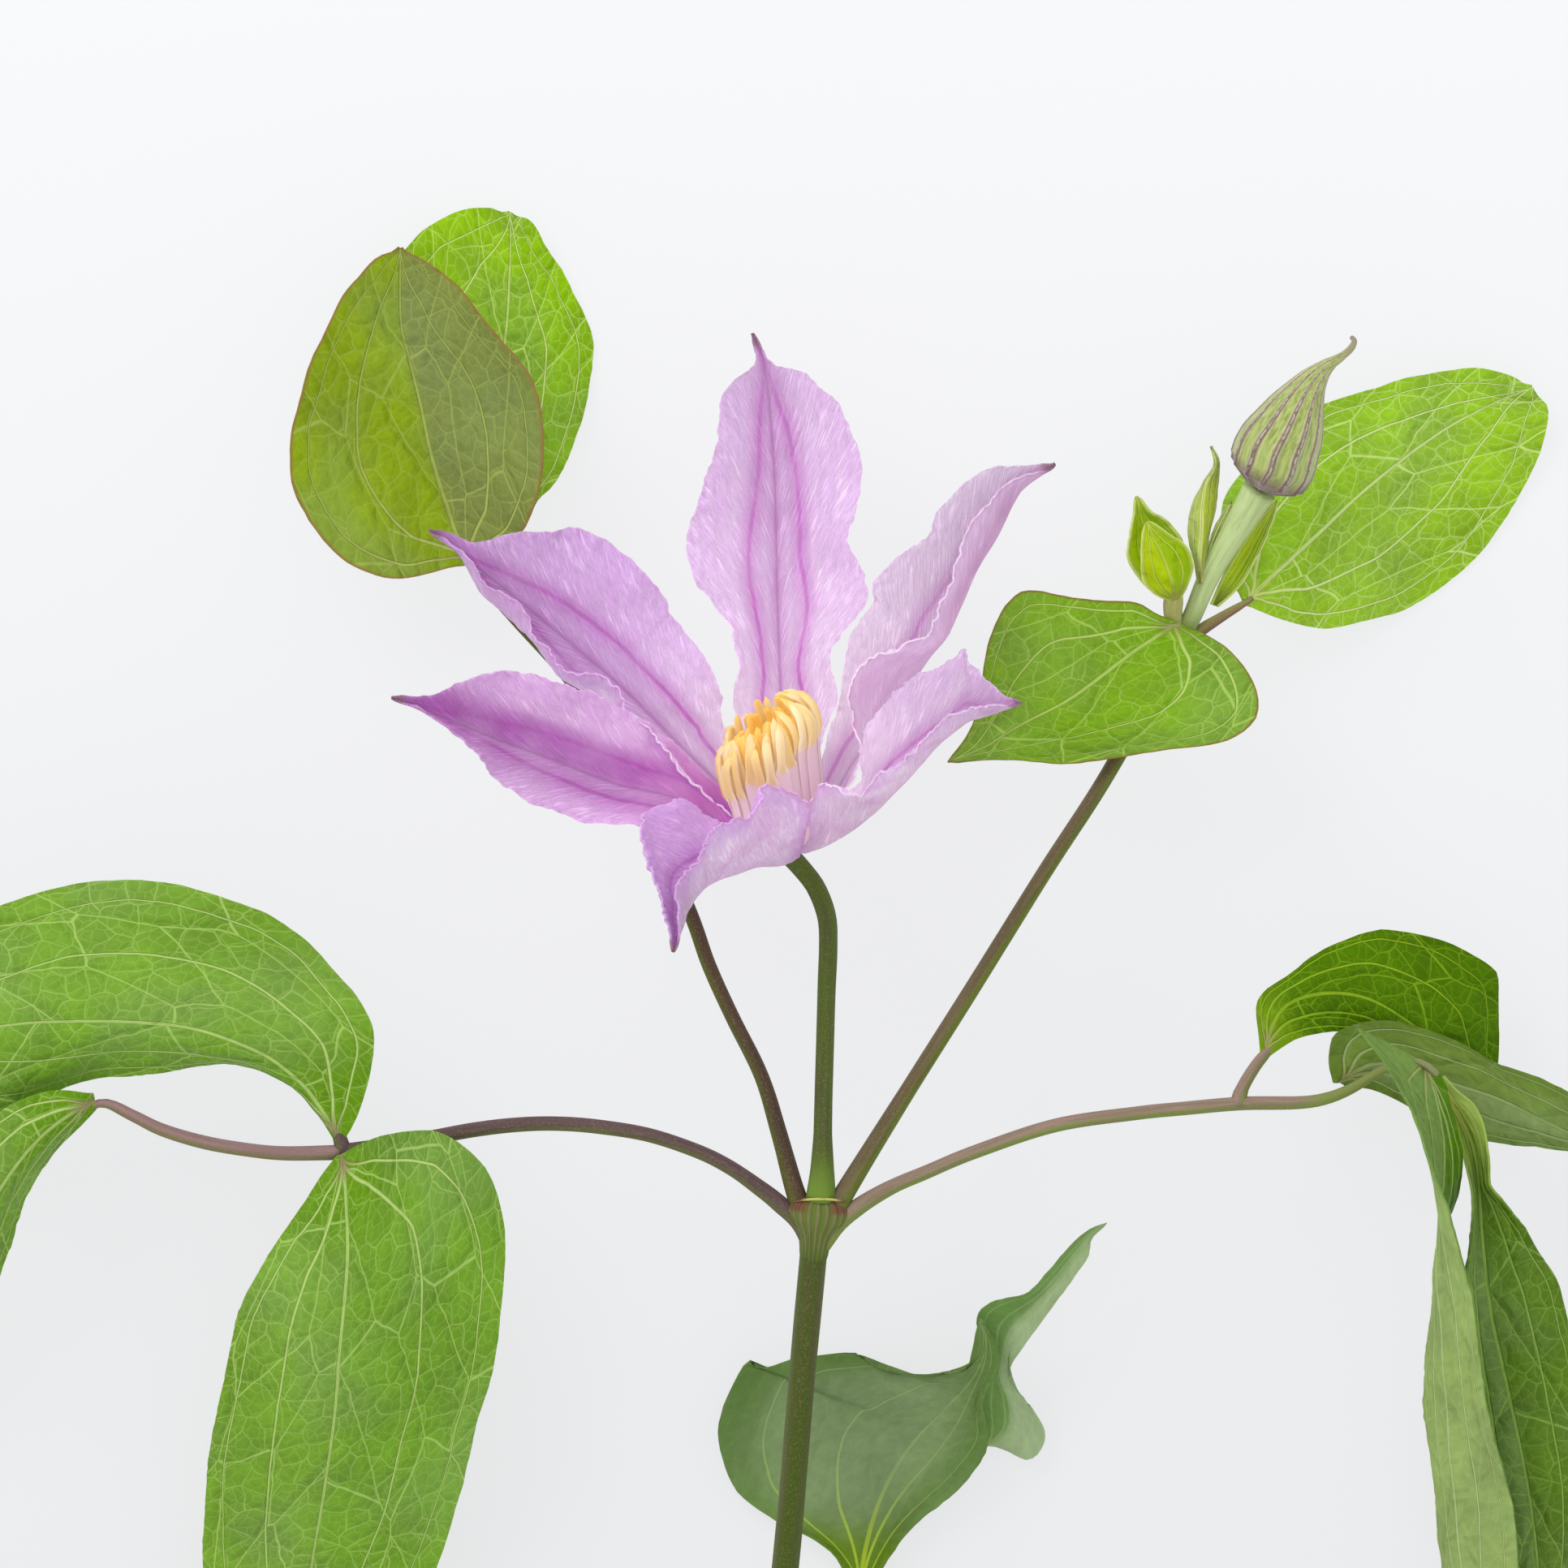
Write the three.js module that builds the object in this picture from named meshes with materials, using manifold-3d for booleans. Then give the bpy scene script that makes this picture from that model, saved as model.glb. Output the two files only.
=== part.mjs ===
// A cut shoot of a large-flowered clematis, laid on a flat surface.
//
// Millimetres, +Z up from the surface. The shoot is laid out round its upper leaf node, which is
// the zero of X and Y in every list below: +Y runs up the shoot, +X to the right of it.
// Leaves, sepals and stalks are lofted from the few points that their shape needs, and the whole
// shoot is moved at the end so that its box stands centred on the origin.
import * as THREE from 'three';
import { mergeVertices } from 'three/addons/utils/BufferGeometryUtils.js';
import Module from 'manifold-3d';

const wasm = await Module();
wasm.setup();

// ---------- driving dimensions ----------
const LEAF_THICK = 0.8;       // leaf blades, thicker than life so that they stay solid
const SEPAL_THICK = 0.8;      // the six petal-like sepals
const STAMENS_OUTER = 20;
const STAMENS_INNER = 6;
const STAMEN_LENGTH = 17.6;   // filament and anther together, on average
const CROWN_TILT = 3.4;       // how much longer the stamens on the right are, and shorter on the left
const ANTHER_LENGTH = 7.6;
const ANTHER_RADIUS = 0.62;
const FILAMENT_RADIUS = 0.42;
const STAMEN_RING = 6;        // distance of the anthers from the boss's axis
const BUD_RIBS = 12;
const CENTRE = [-3.11, 15.71];  // middle of the shoot's box, measured from the upper node

// ---------- finishes ----------
const finish = (color, roughness) => new THREE.MeshStandardMaterial({
  color,
  roughness,
  metalness: 0,
  side: THREE.DoubleSide,
});
const leafGreen = finish(0x5f9a1c, 0.5);
const youngGreen = finish(0xa9c41a, 0.55);
const shadeGreen = finish(0x6f8f55, 0.6);
const stemGreen = finish(0x5d6b2c, 0.6);
const stemPurple = finish(0x5c4a45, 0.6);
const sepalLilac = finish(0xd4a4dd, 0.65);
const antherYellow = finish(0xf6d778, 0.6);
const budStriped = finish(0xa8b27a, 0.6);

// ---------- helpers ----------
const plant = new THREE.Group();

function spline(points) {
  return new THREE.CatmullRomCurve3(points.map((p) => new THREE.Vector3(...p)), false, 'catmullrom', 0.5);
}

// What reaches the surface is pressed flat against it.
function settle(geometry) {
  const place = geometry.attributes.position;
  for (let i = 0; i < place.count; i += 1) {
    place.setZ(i, Math.max(place.getZ(i), 0));
  }
  return geometry;
}

function addPiece(name, geometry, material) {
  const mesh = new THREE.Mesh(settle(geometry), material);
  mesh.name = name;
  plant.add(mesh);
}

// A blade is a sheet through its rails, which run from base to tip: the left margin first, then
// the midrib, or a fold, and the right margin, as seen on the upper face with the tip up.
// The ripple lifts the margins in waves. Both faces are split into triangles alike.
function blade({ rails, along = 12, across = 6, thick = LEAF_THICK, ripple = 0, waves = 3 }) {
  const curves = rails.map(spline);
  const sheet = [];
  for (let row = 0; row <= along; row += 1) {
    const section = new THREE.CatmullRomCurve3(
      curves.map((curve) => curve.getPointAt(row / along)), false, 'catmullrom', 0.5);
    for (let col = 0; col <= across; col += 1) {
      sheet.push(section.getPoint(col / across));
    }
  }
  const cell = (row, col) => row * (across + 1) + col;
  const normalAt = (points, row, col) => {
    const acrossWay = points[cell(row, Math.min(col + 1, across))].clone()
      .sub(points[cell(row, Math.max(col - 1, 0))]);
    const alongWay = points[cell(Math.min(row + 1, along), col)].clone()
      .sub(points[cell(Math.max(row - 1, 0), col)]);
    return acrossWay.cross(alongWay).normalize();
  };
  const waved = [];
  const faces = [];
  for (let row = 0; row <= along; row += 1) {
    const s = row / along;
    for (let col = 0; col <= across; col += 1) {
      const swell = Math.abs(2 * col / across - 1) ** 2 * Math.sin(Math.PI * s);
      const wave = Math.sin(2 * Math.PI * (waves * s + col / across));
      waved.push(sheet[cell(row, col)].clone()
        .addScaledVector(normalAt(sheet, row, col), ripple * swell * wave));
    }
  }
  const upper = [];
  const lower = [];
  for (let row = 0; row <= along; row += 1) {
    for (let col = 0; col <= across; col += 1) {
      const half = normalAt(waved, row, col).multiplyScalar(thick / 2);
      upper.push(...waved[cell(row, col)].clone().add(half).toArray());
      lower.push(...waved[cell(row, col)].clone().sub(half).toArray());
    }
  }
  const under = (along + 1) * (across + 1);
  const wall = (p, q) => faces.push(q, p, p + under, q, p + under, q + under);
  for (let row = 0; row < along; row += 1) {
    for (let col = 0; col < across; col += 1) {
      const a = cell(row, col);
      const b = cell(row + 1, col);
      const c = cell(row + 1, col + 1);
      const d = cell(row, col + 1);
      faces.push(a, d, c, a, c, b, a + under, c + under, d + under, a + under, b + under, c + under);
    }
    wall(cell(row + 1, 0), cell(row, 0));
    wall(cell(row, across), cell(row + 1, across));
  }
  for (let col = 0; col < across; col += 1) {
    wall(cell(0, col), cell(0, col + 1));
    wall(cell(along, col + 1), cell(along, col));
  }
  const geometry = new THREE.BufferGeometry();
  geometry.setAttribute('position', new THREE.Float32BufferAttribute([...upper, ...lower], 3));
  geometry.setIndex(faces);
  return geometry;
}

// A stalk is a capped cylinder bent along its route. Its radius runs evenly through the girth
// list from start to end, and ribs stand out of it.
function stalk({ route, girth, sides = 8, steps = 12, ribs = 0, ribDepth = 0 }) {
  const geometry = new THREE.CylinderGeometry(1, 1, 1, sides, steps);
  geometry.deleteAttribute('uv');
  geometry.deleteAttribute('normal');
  const path = spline(route);
  const place = geometry.attributes.position;
  const up = new THREE.Vector3(0, 0, 1);
  for (let i = 0; i < place.count; i += 1) {
    const s = Math.min(Math.max(place.getY(i) + 0.5, 0), 1);
    const knot = s * (girth.length - 1);
    const before = Math.min(Math.floor(knot), girth.length - 2);
    const radius = THREE.MathUtils.lerp(girth[before], girth[before + 1], knot - before);
    const turn = Math.atan2(place.getZ(i), place.getX(i));
    const reach = radius * (1 + ribDepth * Math.cos(ribs * turn));
    const forward = path.getTangentAt(s);
    const sideways = forward.clone().cross(up).normalize();
    const lift = sideways.clone().cross(forward);
    const point = path.getPointAt(s)
      .addScaledVector(sideways, place.getX(i) * reach)
      .addScaledVector(lift, place.getZ(i) * reach);
    place.setXYZ(i, point.x, point.y, point.z);
  }
  return mergeVertices(geometry, 1e-4);
}

function toSolid(geometry) {
  const bare = mergeVertices(geometry, 1e-4);
  return new wasm.Manifold(new wasm.Mesh({
    numProp: 3,
    vertProperties: new Float32Array(bare.attributes.position.array),
    triVerts: new Uint32Array(bare.index.array),
  }));
}

// Joins pieces that grew together into one solid.
function grownTogether(geometries) {
  const joined = geometries.map(toSolid).reduce((whole, piece) => whole.add(piece)).getMesh();
  const geometry = new THREE.BufferGeometry();
  geometry.setAttribute('position', new THREE.Float32BufferAttribute(joined.vertProperties, 3));
  geometry.setIndex([...joined.triVerts]);
  return geometry;
}

// ---------- stems ----------
// The main stem rises from its cut end past the lower node, where one leaf stalk was trimmed off,
// and flares into the upper node.
const mainStem = stalk({
  route: [[-8.8, -91, 1.75], [-7.9, -80, 4.4], [-7.2, -72, 6.6], [-4.2, -45.2, 13.4], [-2.2, -22, 19.6],
    [-0.9, -8, 23.6], [-0.2, 0, 25]],
  girth: [1.8, 1.8, 2.0, 1.75, 1.7, 1.65, 1.6, 1.6, 1.55, 1.55, 1.55, 1.6, 1.7, 3.5],
  sides: 10,
  steps: 26,
});
const trimmedStalk = stalk({
  route: [[-8, -74.5, 6.2], [-10.5, -73.5, 6.8], [-13, -71.5, 7.6]],
  girth: [1.5, 1.1, 1.1],
  steps: 3,
});
addPiece('stem_main', grownTogether([mainStem, trimmedStalk]), stemGreen);

addPiece('flower_stalk', stalk({
  route: [[0.2, 0.5, 25.3], [0.4, 11.9, 26], [0.6, 19, 26.4], [0.8, 26.1, 26.7], [1, 31.5, 26.9],
    [0.8, 35.1, 27], [-0.5, 38.6, 27.2], [-2.3, 41, 27.3], [-3.5, 42.3, 28], [-4.1, 42.95, 28.5]],
  girth: [1.75, 1.25, 1.15, 1.15, 1.15, 1.15, 1.15, 1.15, 1.2, 1.2, 1.25],
  steps: 20,
}), stemGreen);

const shootLeft = stalk({
  route: [[-3, 1.15, 24.9], [-4.8, 8.3, 23.6], [-6.9, 15.4, 22.2], [-10.5, 22.6, 20.6], [-13.4, 29, 19.3],
    [-15.9, 36, 18.2], [-22, 49.5, 16.8], [-29.5, 62.5, 16], [-37, 71.2, 15.8], [-42.1, 77.2, 15.8]],
  girth: [1.2, 1.05, 1, 1, 1, 0.95, 0.9, 0.85, 0.8, 1],
  steps: 18,
});
const leftFrontStalk = stalk({
  route: [[-41.9, 76.9, 15.9], [-42.5, 77.6, 16.3], [-43, 78.2, 16.6]],
  girth: [0.8, 0.8, 0.6],
  steps: 3,
  sides: 6,
});
const leftBackStalk = stalk({
  route: [[-41.9, 76.9, 15.7], [-41.8, 77.9, 14.6], [-41.4, 79.1, 13.3]],
  girth: [0.9, 0.8, 0.6],
  steps: 3,
  sides: 6,
});
addPiece('side_shoot_left', grownTogether([shootLeft, leftFrontStalk, leftBackStalk]), stemPurple);

const shootRight = stalk({
  route: [[2.95, 0.85, 24.8], [7, 7, 23.8], [12.6, 15.9, 22.4], [19, 26, 20.9], [28, 40.4, 18.4],
    [36.4, 53.5, 16.2], [44.3, 69.2, 14.6]],
  girth: [1.25, 1.15, 1.1, 1.1, 1.05, 1, 1, 1.05, 1.6],
  steps: 16,
});
const rightLeafStalk = stalk({
  route: [[44.2, 68, 14.5], [47, 70.3, 14.4], [49, 71.6, 14.2], [50.8, 72.7, 13.8], [52.4, 73.7, 13.5]],
  girth: [0.85, 0.85, 0.75, 0.65, 0.6],
  steps: 6,
  sides: 6,
});
addPiece('side_shoot_right', grownTogether([shootRight, rightLeafStalk]), stemPurple);

// ---------- leaf stalks ----------
const leftStalk = stalk({
  route: [[-4.75, -0.6, 24.6], [-7.4, 1.6, 24.4], [-11, 4.2, 24.1], [-15, 6.2, 23.7], [-21, 8.2, 23.2],
    [-27, 9.2, 22.8], [-32, 9.6, 22.6], [-37, 9.5, 22.6], [-43, 8.8, 22.8], [-51, 7.2, 23.8],
    [-59, 6, 25]],
  girth: [1.1, 0.9, 0.85, 0.85, 0.85, 0.85, 0.85, 0.9, 1.1],
  steps: 18,
});
const leftUpperStalk = stalk({
  route: [[-59, 6, 25], [-59.1, 7, 25.1], [-59.4, 8.2, 25.4]],
  girth: [0.95, 0.9, 0.8],
  steps: 2,
  sides: 6,
});
const leftEndStalk = stalk({
  route: [[-59, 6, 25], [-66, 5.9, 25.2], [-71, 6.4, 25.4], [-76, 7.3, 25.6], [-81, 8.8, 25.8],
    [-84.5, 10.5, 26], [-88.2, 12.2, 26.2]],
  girth: [0.95, 0.9, 0.85, 0.85, 0.8],
  steps: 9,
  sides: 6,
});
addPiece('leaf_stalk_left', grownTogether([leftStalk, leftUpperStalk, leftEndStalk]), stemPurple);

const rightStalk = stalk({
  route: [[4.85, -0.7, 24.6], [9, 1.8, 24.5], [13, 3.5, 24.4], [19, 6, 24.1], [29, 9.3, 23.7],
    [39, 10.8, 23.4], [45, 11.4, 23.2], [52, 12, 23], [59, 12.1, 22.8], [63.2, 12.9, 22.8],
    [69.2, 16, 22.8], [73.8, 17.2, 25.4]],
  girth: [1.1, 0.9, 0.85, 0.85, 0.85, 0.85, 0.85, 0.85, 0.9, 0.85, 0.75, 0.65],
  steps: 24,
});
const rightEndStalk = stalk({
  route: [[73.8, 17.2, 25.4], [75.4, 16.4, 24.6], [76.4, 15.2, 22.8]],
  girth: [0.65, 0.6, 0.5],
  steps: 3,
  sides: 6,
});
const rightUpperStalk = stalk({
  route: [[52, 12, 23], [52.3, 14, 23], [53.5, 16, 23], [54.6, 17.7, 22.9]],
  girth: [0.85, 0.75, 0.7],
  steps: 4,
  sides: 6,
});
addPiece('leaf_stalk_right', grownTogether([rightStalk, rightEndStalk, rightUpperStalk]), stemPurple);

addPiece('leaf_stalk_rear', stalk({
  route: [[-4.65, -73.3, 5.3], [-1.5, -70.5, 4.6], [2.2, -64, 4], [4.2, -56, 4], [4.9, -50.3, 3.8]],
  girth: [1.1, 0.9, 0.9, 0.9, 0.85],
  steps: 7,
}), stemGreen);

// ---------- left leaf: three leaflets ----------
addPiece('leaflet_left_upper', blade({
  rails: [
    [[-59.8, 7.8, 26], [-60.7, 9.2, 25.3], [-62.1, 11.3, 24.7], [-64.8, 14.1, 24.4],
      [-70, 16.1, 24.6], [-77, 16.5, 24.2],
      [-87, 15.5, 23.6], [-95, 13, 23], [-101, 11.2, 22.4], [-108, 11.3, 22], [-114, 14, 21.6],
      [-118, 18.2, 21]],
    [[-59.3, 7.9, 26.6], [-60.3, 9.4, 26.5], [-61.7, 11.8, 26.8], [-64.3, 15, 27.8],
      [-69, 18.4, 29.2], [-77, 21.3, 30.2],
      [-86, 22.2, 30], [-96, 22.1, 28.6], [-101, 21.6, 27.4], [-110, 20.6, 24.6], [-118, 18.9, 21.4]],
    [[-58.8, 7.8, 26.2], [-57.7, 9, 25.8], [-56.6, 11.6, 25.8], [-55.5, 15.5, 26.3],
      [-54.9, 20.5, 27], [-56.5, 24.5, 27.6],
      [-59.5, 28.2, 28], [-63, 32, 28.2], [-67, 34.8, 28.2], [-71, 36.5, 28], [-77, 38.4, 27.6],
      [-83, 39.6, 27], [-91, 39.3, 26.2], [-98, 37.3, 25.2], [-104, 34.8, 24.2], [-110, 30.5, 23],
      [-115.5, 24.5, 22], [-118.2, 19.6, 21.2]],
  ],
  ripple: 0.7,
}), leafGreen);

addPiece('leaflet_left_hanging', blade({
  rails: [
    [[-57.4, 4.9, 26], [-55.6, 6.6, 26.4], [-53, 7.8, 26.8], [-47, 8.4, 27], [-43.5, 6.8, 27],
      [-41, 4, 26.8], [-39.2, 0, 26.4], [-38.7, -6, 25.4], [-39.6, -15.7, 23], [-40.7, -22, 21],
      [-42.4, -27.7, 18.8], [-43.6, -33.4, 16.4], [-46.1, -41.9, 12.6], [-48.6, -48, 9.8], [-53, -56, 6],
      [-60, -63, 2.6], [-65.8, -67.6, 0.4]],
    [[-58.2, 4.3, 26.2], [-58.2, 0, 28.4], [-58.1, -6, 29], [-58.5, -12, 28], [-59.2, -19, 25.6],
      [-59.8, -26, 22.4], [-61.2, -35.6, 17], [-62.9, -45.2, 11.4], [-65, -57, 5], [-66.4, -67.6, 0.4]],
    [[-59, 3.7, 26], [-62.5, 1, 26.4], [-65.5, -3, 26.4], [-68.5, -6.5, 26], [-71, -12, 24.8],
      [-72.3, -16, 23.6], [-73.3, -21.4, 21.6], [-74.8, -28.2, 18.6], [-75.8, -33.9, 15.8],
      [-76.4, -45.2, 10], [-75.5, -54, 6], [-72, -62, 2.6], [-67.2, -67.4, 0.4]],
  ],
  ripple: 0.6,
}), leafGreen);

addPiece('leaflet_left_end', blade({
  rails: [
    [[-88.9, 11.6, 26], [-91.5, 9, 24.4], [-94.5, 6, 22.6], [-97.5, 1.5, 20.4], [-100, -5, 17.4],
      [-103, -14, 13.6], [-108, -22, 9.6], [-112, -27, 7]],
    [[-89.2, 12.5, 26.6], [-94, 9.5, 28.4], [-98.5, 5, 28], [-103, -2, 24.6], [-106.5, -11, 19.2],
      [-110, -20, 12.6], [-112.4, -27, 7]],
    [[-89.4, 13.3, 26.8], [-95, 13.6, 27.8], [-101, 11, 27], [-108, 5, 24], [-113, -4, 19],
      [-115, -14, 14], [-114.5, -22, 10], [-112.9, -26.8, 7]],
  ],
  along: 10,
}), leafGreen);

// ---------- right leaf: four leaflets ----------
addPiece('leaflet_right_upper', blade({
  rails: [
    [[54.3, 18.2, 22.6], [54.2, 20.5, 21.8], [53.9, 24, 20.4], [55, 25.8, 19.6], [58, 27.8, 18.6],
      [61, 30.2, 17.6], [65, 32.2, 16.4], [69, 33.3, 15], [73, 33, 13.6], [77, 32, 12], [81, 30, 10.2],
      [82.8, 29, 9.4], [84, 27.6, 8.8], [84.2, 23, 7.8], [84, 16, 7], [82.6, 11.8, 7.2]],
    [[54.9, 18.1, 22.8], [56, 22, 22.2], [58.2, 24.5, 21.2], [63, 25.6, 19.4], [68, 24.8, 17.6],
      [73, 22, 15.6], [77.5, 18.4, 12.6], [80.6, 14.6, 9.8], [82.2, 11.6, 7.6]],
    [[55.5, 17.9, 22.8], [59, 20, 21.4], [63, 20.8, 19.6], [67, 20.6, 17.6], [71, 19, 15.6],
      [75, 16.4, 13.4], [79, 13.4, 10.6], [81.8, 11.2, 8.2]],
  ],
  along: 12,
}), leafGreen);

addPiece('leaflet_right_side', blade({
  rails: [
    [[63.4, 14.6, 22.4], [62.9, 16.4, 22], [62.9, 18.4, 21.6], [63.6, 20.5, 21], [66, 21.7, 20.4],
      [69, 22.2, 20], [73, 21.7, 19.4], [79, 19.5, 18.6], [83.5, 17, 18], [88, 15.5, 17.4],
      [92.2, 13.5, 16.6], [100, 9, 15], [107, 3, 13], [112, -2.6, 11]],
    [[64, 14.5, 22.2], [68, 16.8, 20], [73, 16.6, 19], [78, 14.5, 18.8], [84, 12.5, 18.4],
      [92.2, 8.5, 16.6], [102, 4, 14.2], [112, -3.1, 11]],
    [[64.8, 14.2, 21.2], [69, 13.4, 18.2], [74, 11, 17], [79, 9, 16.8], [82, 7.5, 16.6], [85, 6.8, 16.4],
      [92.2, 6, 15.6], [100, 3.5, 14], [107, 0, 12.4], [111.6, -3.8, 11]],
  ],
  along: 12,
}), shadeGreen);

addPiece('leaflet_right_front', blade({
  rails: [
    [[75.6, 16.6, 26], [77, 14.5, 26], [77.6, 12, 25.8], [78.6, 8.5, 25], [79.2, 5, 23.8],
      [78.7, 0.5, 22], [77.6, -2.5, 20.6], [76.5, -5.5, 20], [75.8, -11, 18.8], [75, -20, 16.4],
      [74.8, -25.2, 15], [75.8, -32, 13], [76.6, -41.2, 10.8], [77.6, -47, 9.8], [79.6, -55, 8.8],
      [81.2, -63.6, 8.4]],
    [[74.6, 17, 26.2], [75.8, 13, 27.4], [76.8, 8, 27.8], [76.9, 3, 27.4], [76.4, -2, 27],
      [76.2, -8, 26.2], [76.8, -16, 24.4], [77.8, -28, 20.2], [78.7, -37, 17], [79.5, -45.2, 14],
      [81, -55, 11], [81.8, -63.8, 8.8]],
    [[66.2, 21.3, 29.6], [68, 19, 31], [70.2, 15.8, 32], [73, 10.5, 33], [75, 4.5, 33.2], [76.5, 0.8, 33],
      [77.5, -2, 32.8], [78.5, -5.6, 32.2], [80.4, -12.4, 30.8], [81.6, -21.5, 28], [83.3, -29.7, 24.8],
      [85.3, -37.1, 21.6], [86.3, -45.2, 18], [85.5, -54, 13.6], [82.4, -63.8, 9.4]],
  ],
  along: 18,
}), shadeGreen);

addPiece('leaflet_right_hanging', blade({
  rails: [
    [[76.9, 15.4, 23], [78.6, 13.6, 23.4], [80.5, 12, 23.8], [81.6, 10, 24.2], [82.3, 6.9, 24.6],
      [82.5, 3.1, 24.8], [82.6, 1.8, 24.6], [84.2, -0.1, 23.6], [86.7, -3.1, 22.4], [89.4, -7.4, 21],
      [91.1, -10, 20], [92.4, -14.7, 18.5], [95, -25, 15], [97, -37, 11], [96.5, -48, 7.5],
      [94, -58, 3.5], [90.6, -67.6, 0.4]],
    [[76.4, 15.1, 22.4], [78.2, 11.8, 21.4], [80, 8.6, 21.2], [81, 5, 21], [81.5, 0, 20.5],
      [82, -6, 20], [83, -14, 18.5], [85.5, -25, 15.5], [88, -37, 12], [89.5, -50, 7],
      [90, -67.6, 0.4]],
    [[75.9, 15, 22.2], [76.9, 12.5, 22], [78.2, 10, 22.4], [79.2, 6.3, 23.4], [80, 3.1, 24.4],
      [80.4, 0.3, 24.8], [80.3, -3.1, 24.6], [80, -6.3, 23.6], [79.6, -9, 22.4],
      [79.6, -14, 20], [79.9, -22, 16.6], [80.8, -32, 12.8], [82.6, -44, 9],
      [85.5, -56, 5.4], [89.2, -67.4, 0.4]],
  ],
  along: 16,
}), leafGreen);

// ---------- rear leaf, at the lower node ----------
addPiece('leaf_rear', blade({
  rails: [
    [[4.4, -50, 4], [3.4, -47.4, 3.4], [2, -44.6, 2.8], [-0.6, -42.5, 2.4], [-5.8, -40, 2],
      [-9.8, -37, 2], [-11.8, -33.5, 2.4], [-12.6, -29.5, 3.2], [-12.1, -26.6, 4], [-10.7, -23.1, 5.4],
      [-8.9, -19.7, 7], [-7.4, -21.6, 6.2], [-5.5, -21, 5.8], [-3.7, -20.1, 5.6], [0.3, -19.5, 5.2],
      [4.3, -19.3, 5], [6.4, -20.7, 5.2], [8.7, -21.7, 5.6], [11.9, -22.1, 6.2], [15, -21.8, 7.2],
      [18.2, -21.3, 8.6], [19.2, -18.5, 10.6], [19.6, -15, 12], [20.2, -13.6, 12.2],
      [21.7, -12.5, 12.8], [25.3, -11.9, 13.2], [26.8, -10.6, 13.4], [29, -8, 13.8],
      [31.4, -5.4, 14.2], [33.3, -3.8, 14.4], [35.4, -2.8, 14.6]],
    [[5, -50, 4], [5.2, -47, 2.4], [5.9, -43, 1], [7.4, -38, 0.5], [9.6, -33.5, 0.5],
      [12.4, -29.6, 1.2], [15.4, -26.8, 3], [18.8, -23.8, 5.8], [21.2, -20.4, 8.6],
      [23.4, -16.4, 10.6], [27.2, -11.4, 12.4], [31, -7.2, 13.8], [35.5, -2.9, 14.6]],
    [[5.4, -50, 4], [7, -46.6, 3.8], [8.9, -43.6, 3.8], [11.6, -40.5, 4.2], [15.2, -37.9, 5],
      [17.9, -35.7, 5.8], [19.9, -33, 6.8], [20.9, -30.4, 7.8], [20.8, -28, 8.4], [20.3, -25.6, 8.8],
      [21.2, -23.2, 8.8], [22.9, -20.6, 9.4], [25.4, -17.2, 10.8], [28.2, -13.4, 12.2],
      [31, -9.4, 13.4], [33, -6.8, 14], [33.4, -4.8, 14.4], [35.6, -3, 14.6]],
    [[5.8, -50, 4], [7.4, -46.8, 3.2], [9.2, -43.8, 2.8], [11.8, -40.7, 2.6], [15.2, -38, 2.6],
      [17.6, -35.7, 2.6], [19.2, -33, 2.6], [20.1, -30.9, 2.6], [21.4, -30.7, 2.4],
      [23.6, -31.6, 2.4], [26, -32.6, 2.6], [27.6, -31.2, 2.8], [28, -29, 3.6], [26.6, -26.4, 5],
      [24.6, -24, 6.6], [23.6, -21.2, 8.2], [26, -17.4, 10.4], [28.8, -13.5, 12], [31.6, -9.6, 13.2],
      [33.3, -7, 13.7], [33.6, -4.8, 14.1], [35.7, -3, 14.5]],
  ],
  along: 26,
  across: 9,
}), shadeGreen);

// ---------- leaf pair at the end of the left side shoot ----------
addPiece('leaf_upper_left_front', blade({
  rails: [
    [[-44, 78.3, 16.8], [-45.5, 78.2, 17.2], [-49, 77.2, 18], [-52, 76.8, 18.6], [-55, 77.3, 19],
      [-59, 79.2, 19.6], [-62.5, 83.2, 20], [-65, 88, 20.2], [-65.4, 92, 20.2], [-65.2, 95, 20.2],
      [-64.4, 98, 20], [-62.9, 103.5, 19.8], [-61.2, 107, 19.6], [-59, 111.5, 19.4], [-57, 114, 19.2],
      [-55, 116.2, 19], [-52.2, 117.6, 18.8]],
    [[-43.3, 78.5, 16.8], [-45, 82.5, 16.4], [-46.5, 87, 16], [-48, 92, 16], [-49.4, 98.5, 16.2],
      [-51, 105, 16.8], [-51.8, 109, 17.4], [-51.8, 117.6, 18.6]],
    [[-42.6, 78.9, 16.8], [-40.8, 79.4, 17.6], [-38.5, 80.8, 18.6], [-36.4, 83, 19.6], [-35, 86.5, 20.6],
      [-34.2, 90, 21.2], [-34.1, 95, 21.6], [-34.6, 98.5, 21.6], [-35.8, 101.8, 21.4], [-37, 103.5, 21.2],
      [-39, 105.8, 20.8], [-41, 108.2, 20.4], [-43, 110.8, 20], [-45, 113.2, 19.6], [-48, 115.5, 19.2],
      [-51.2, 117.4, 18.8]],
  ],
}), leafGreen);

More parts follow.
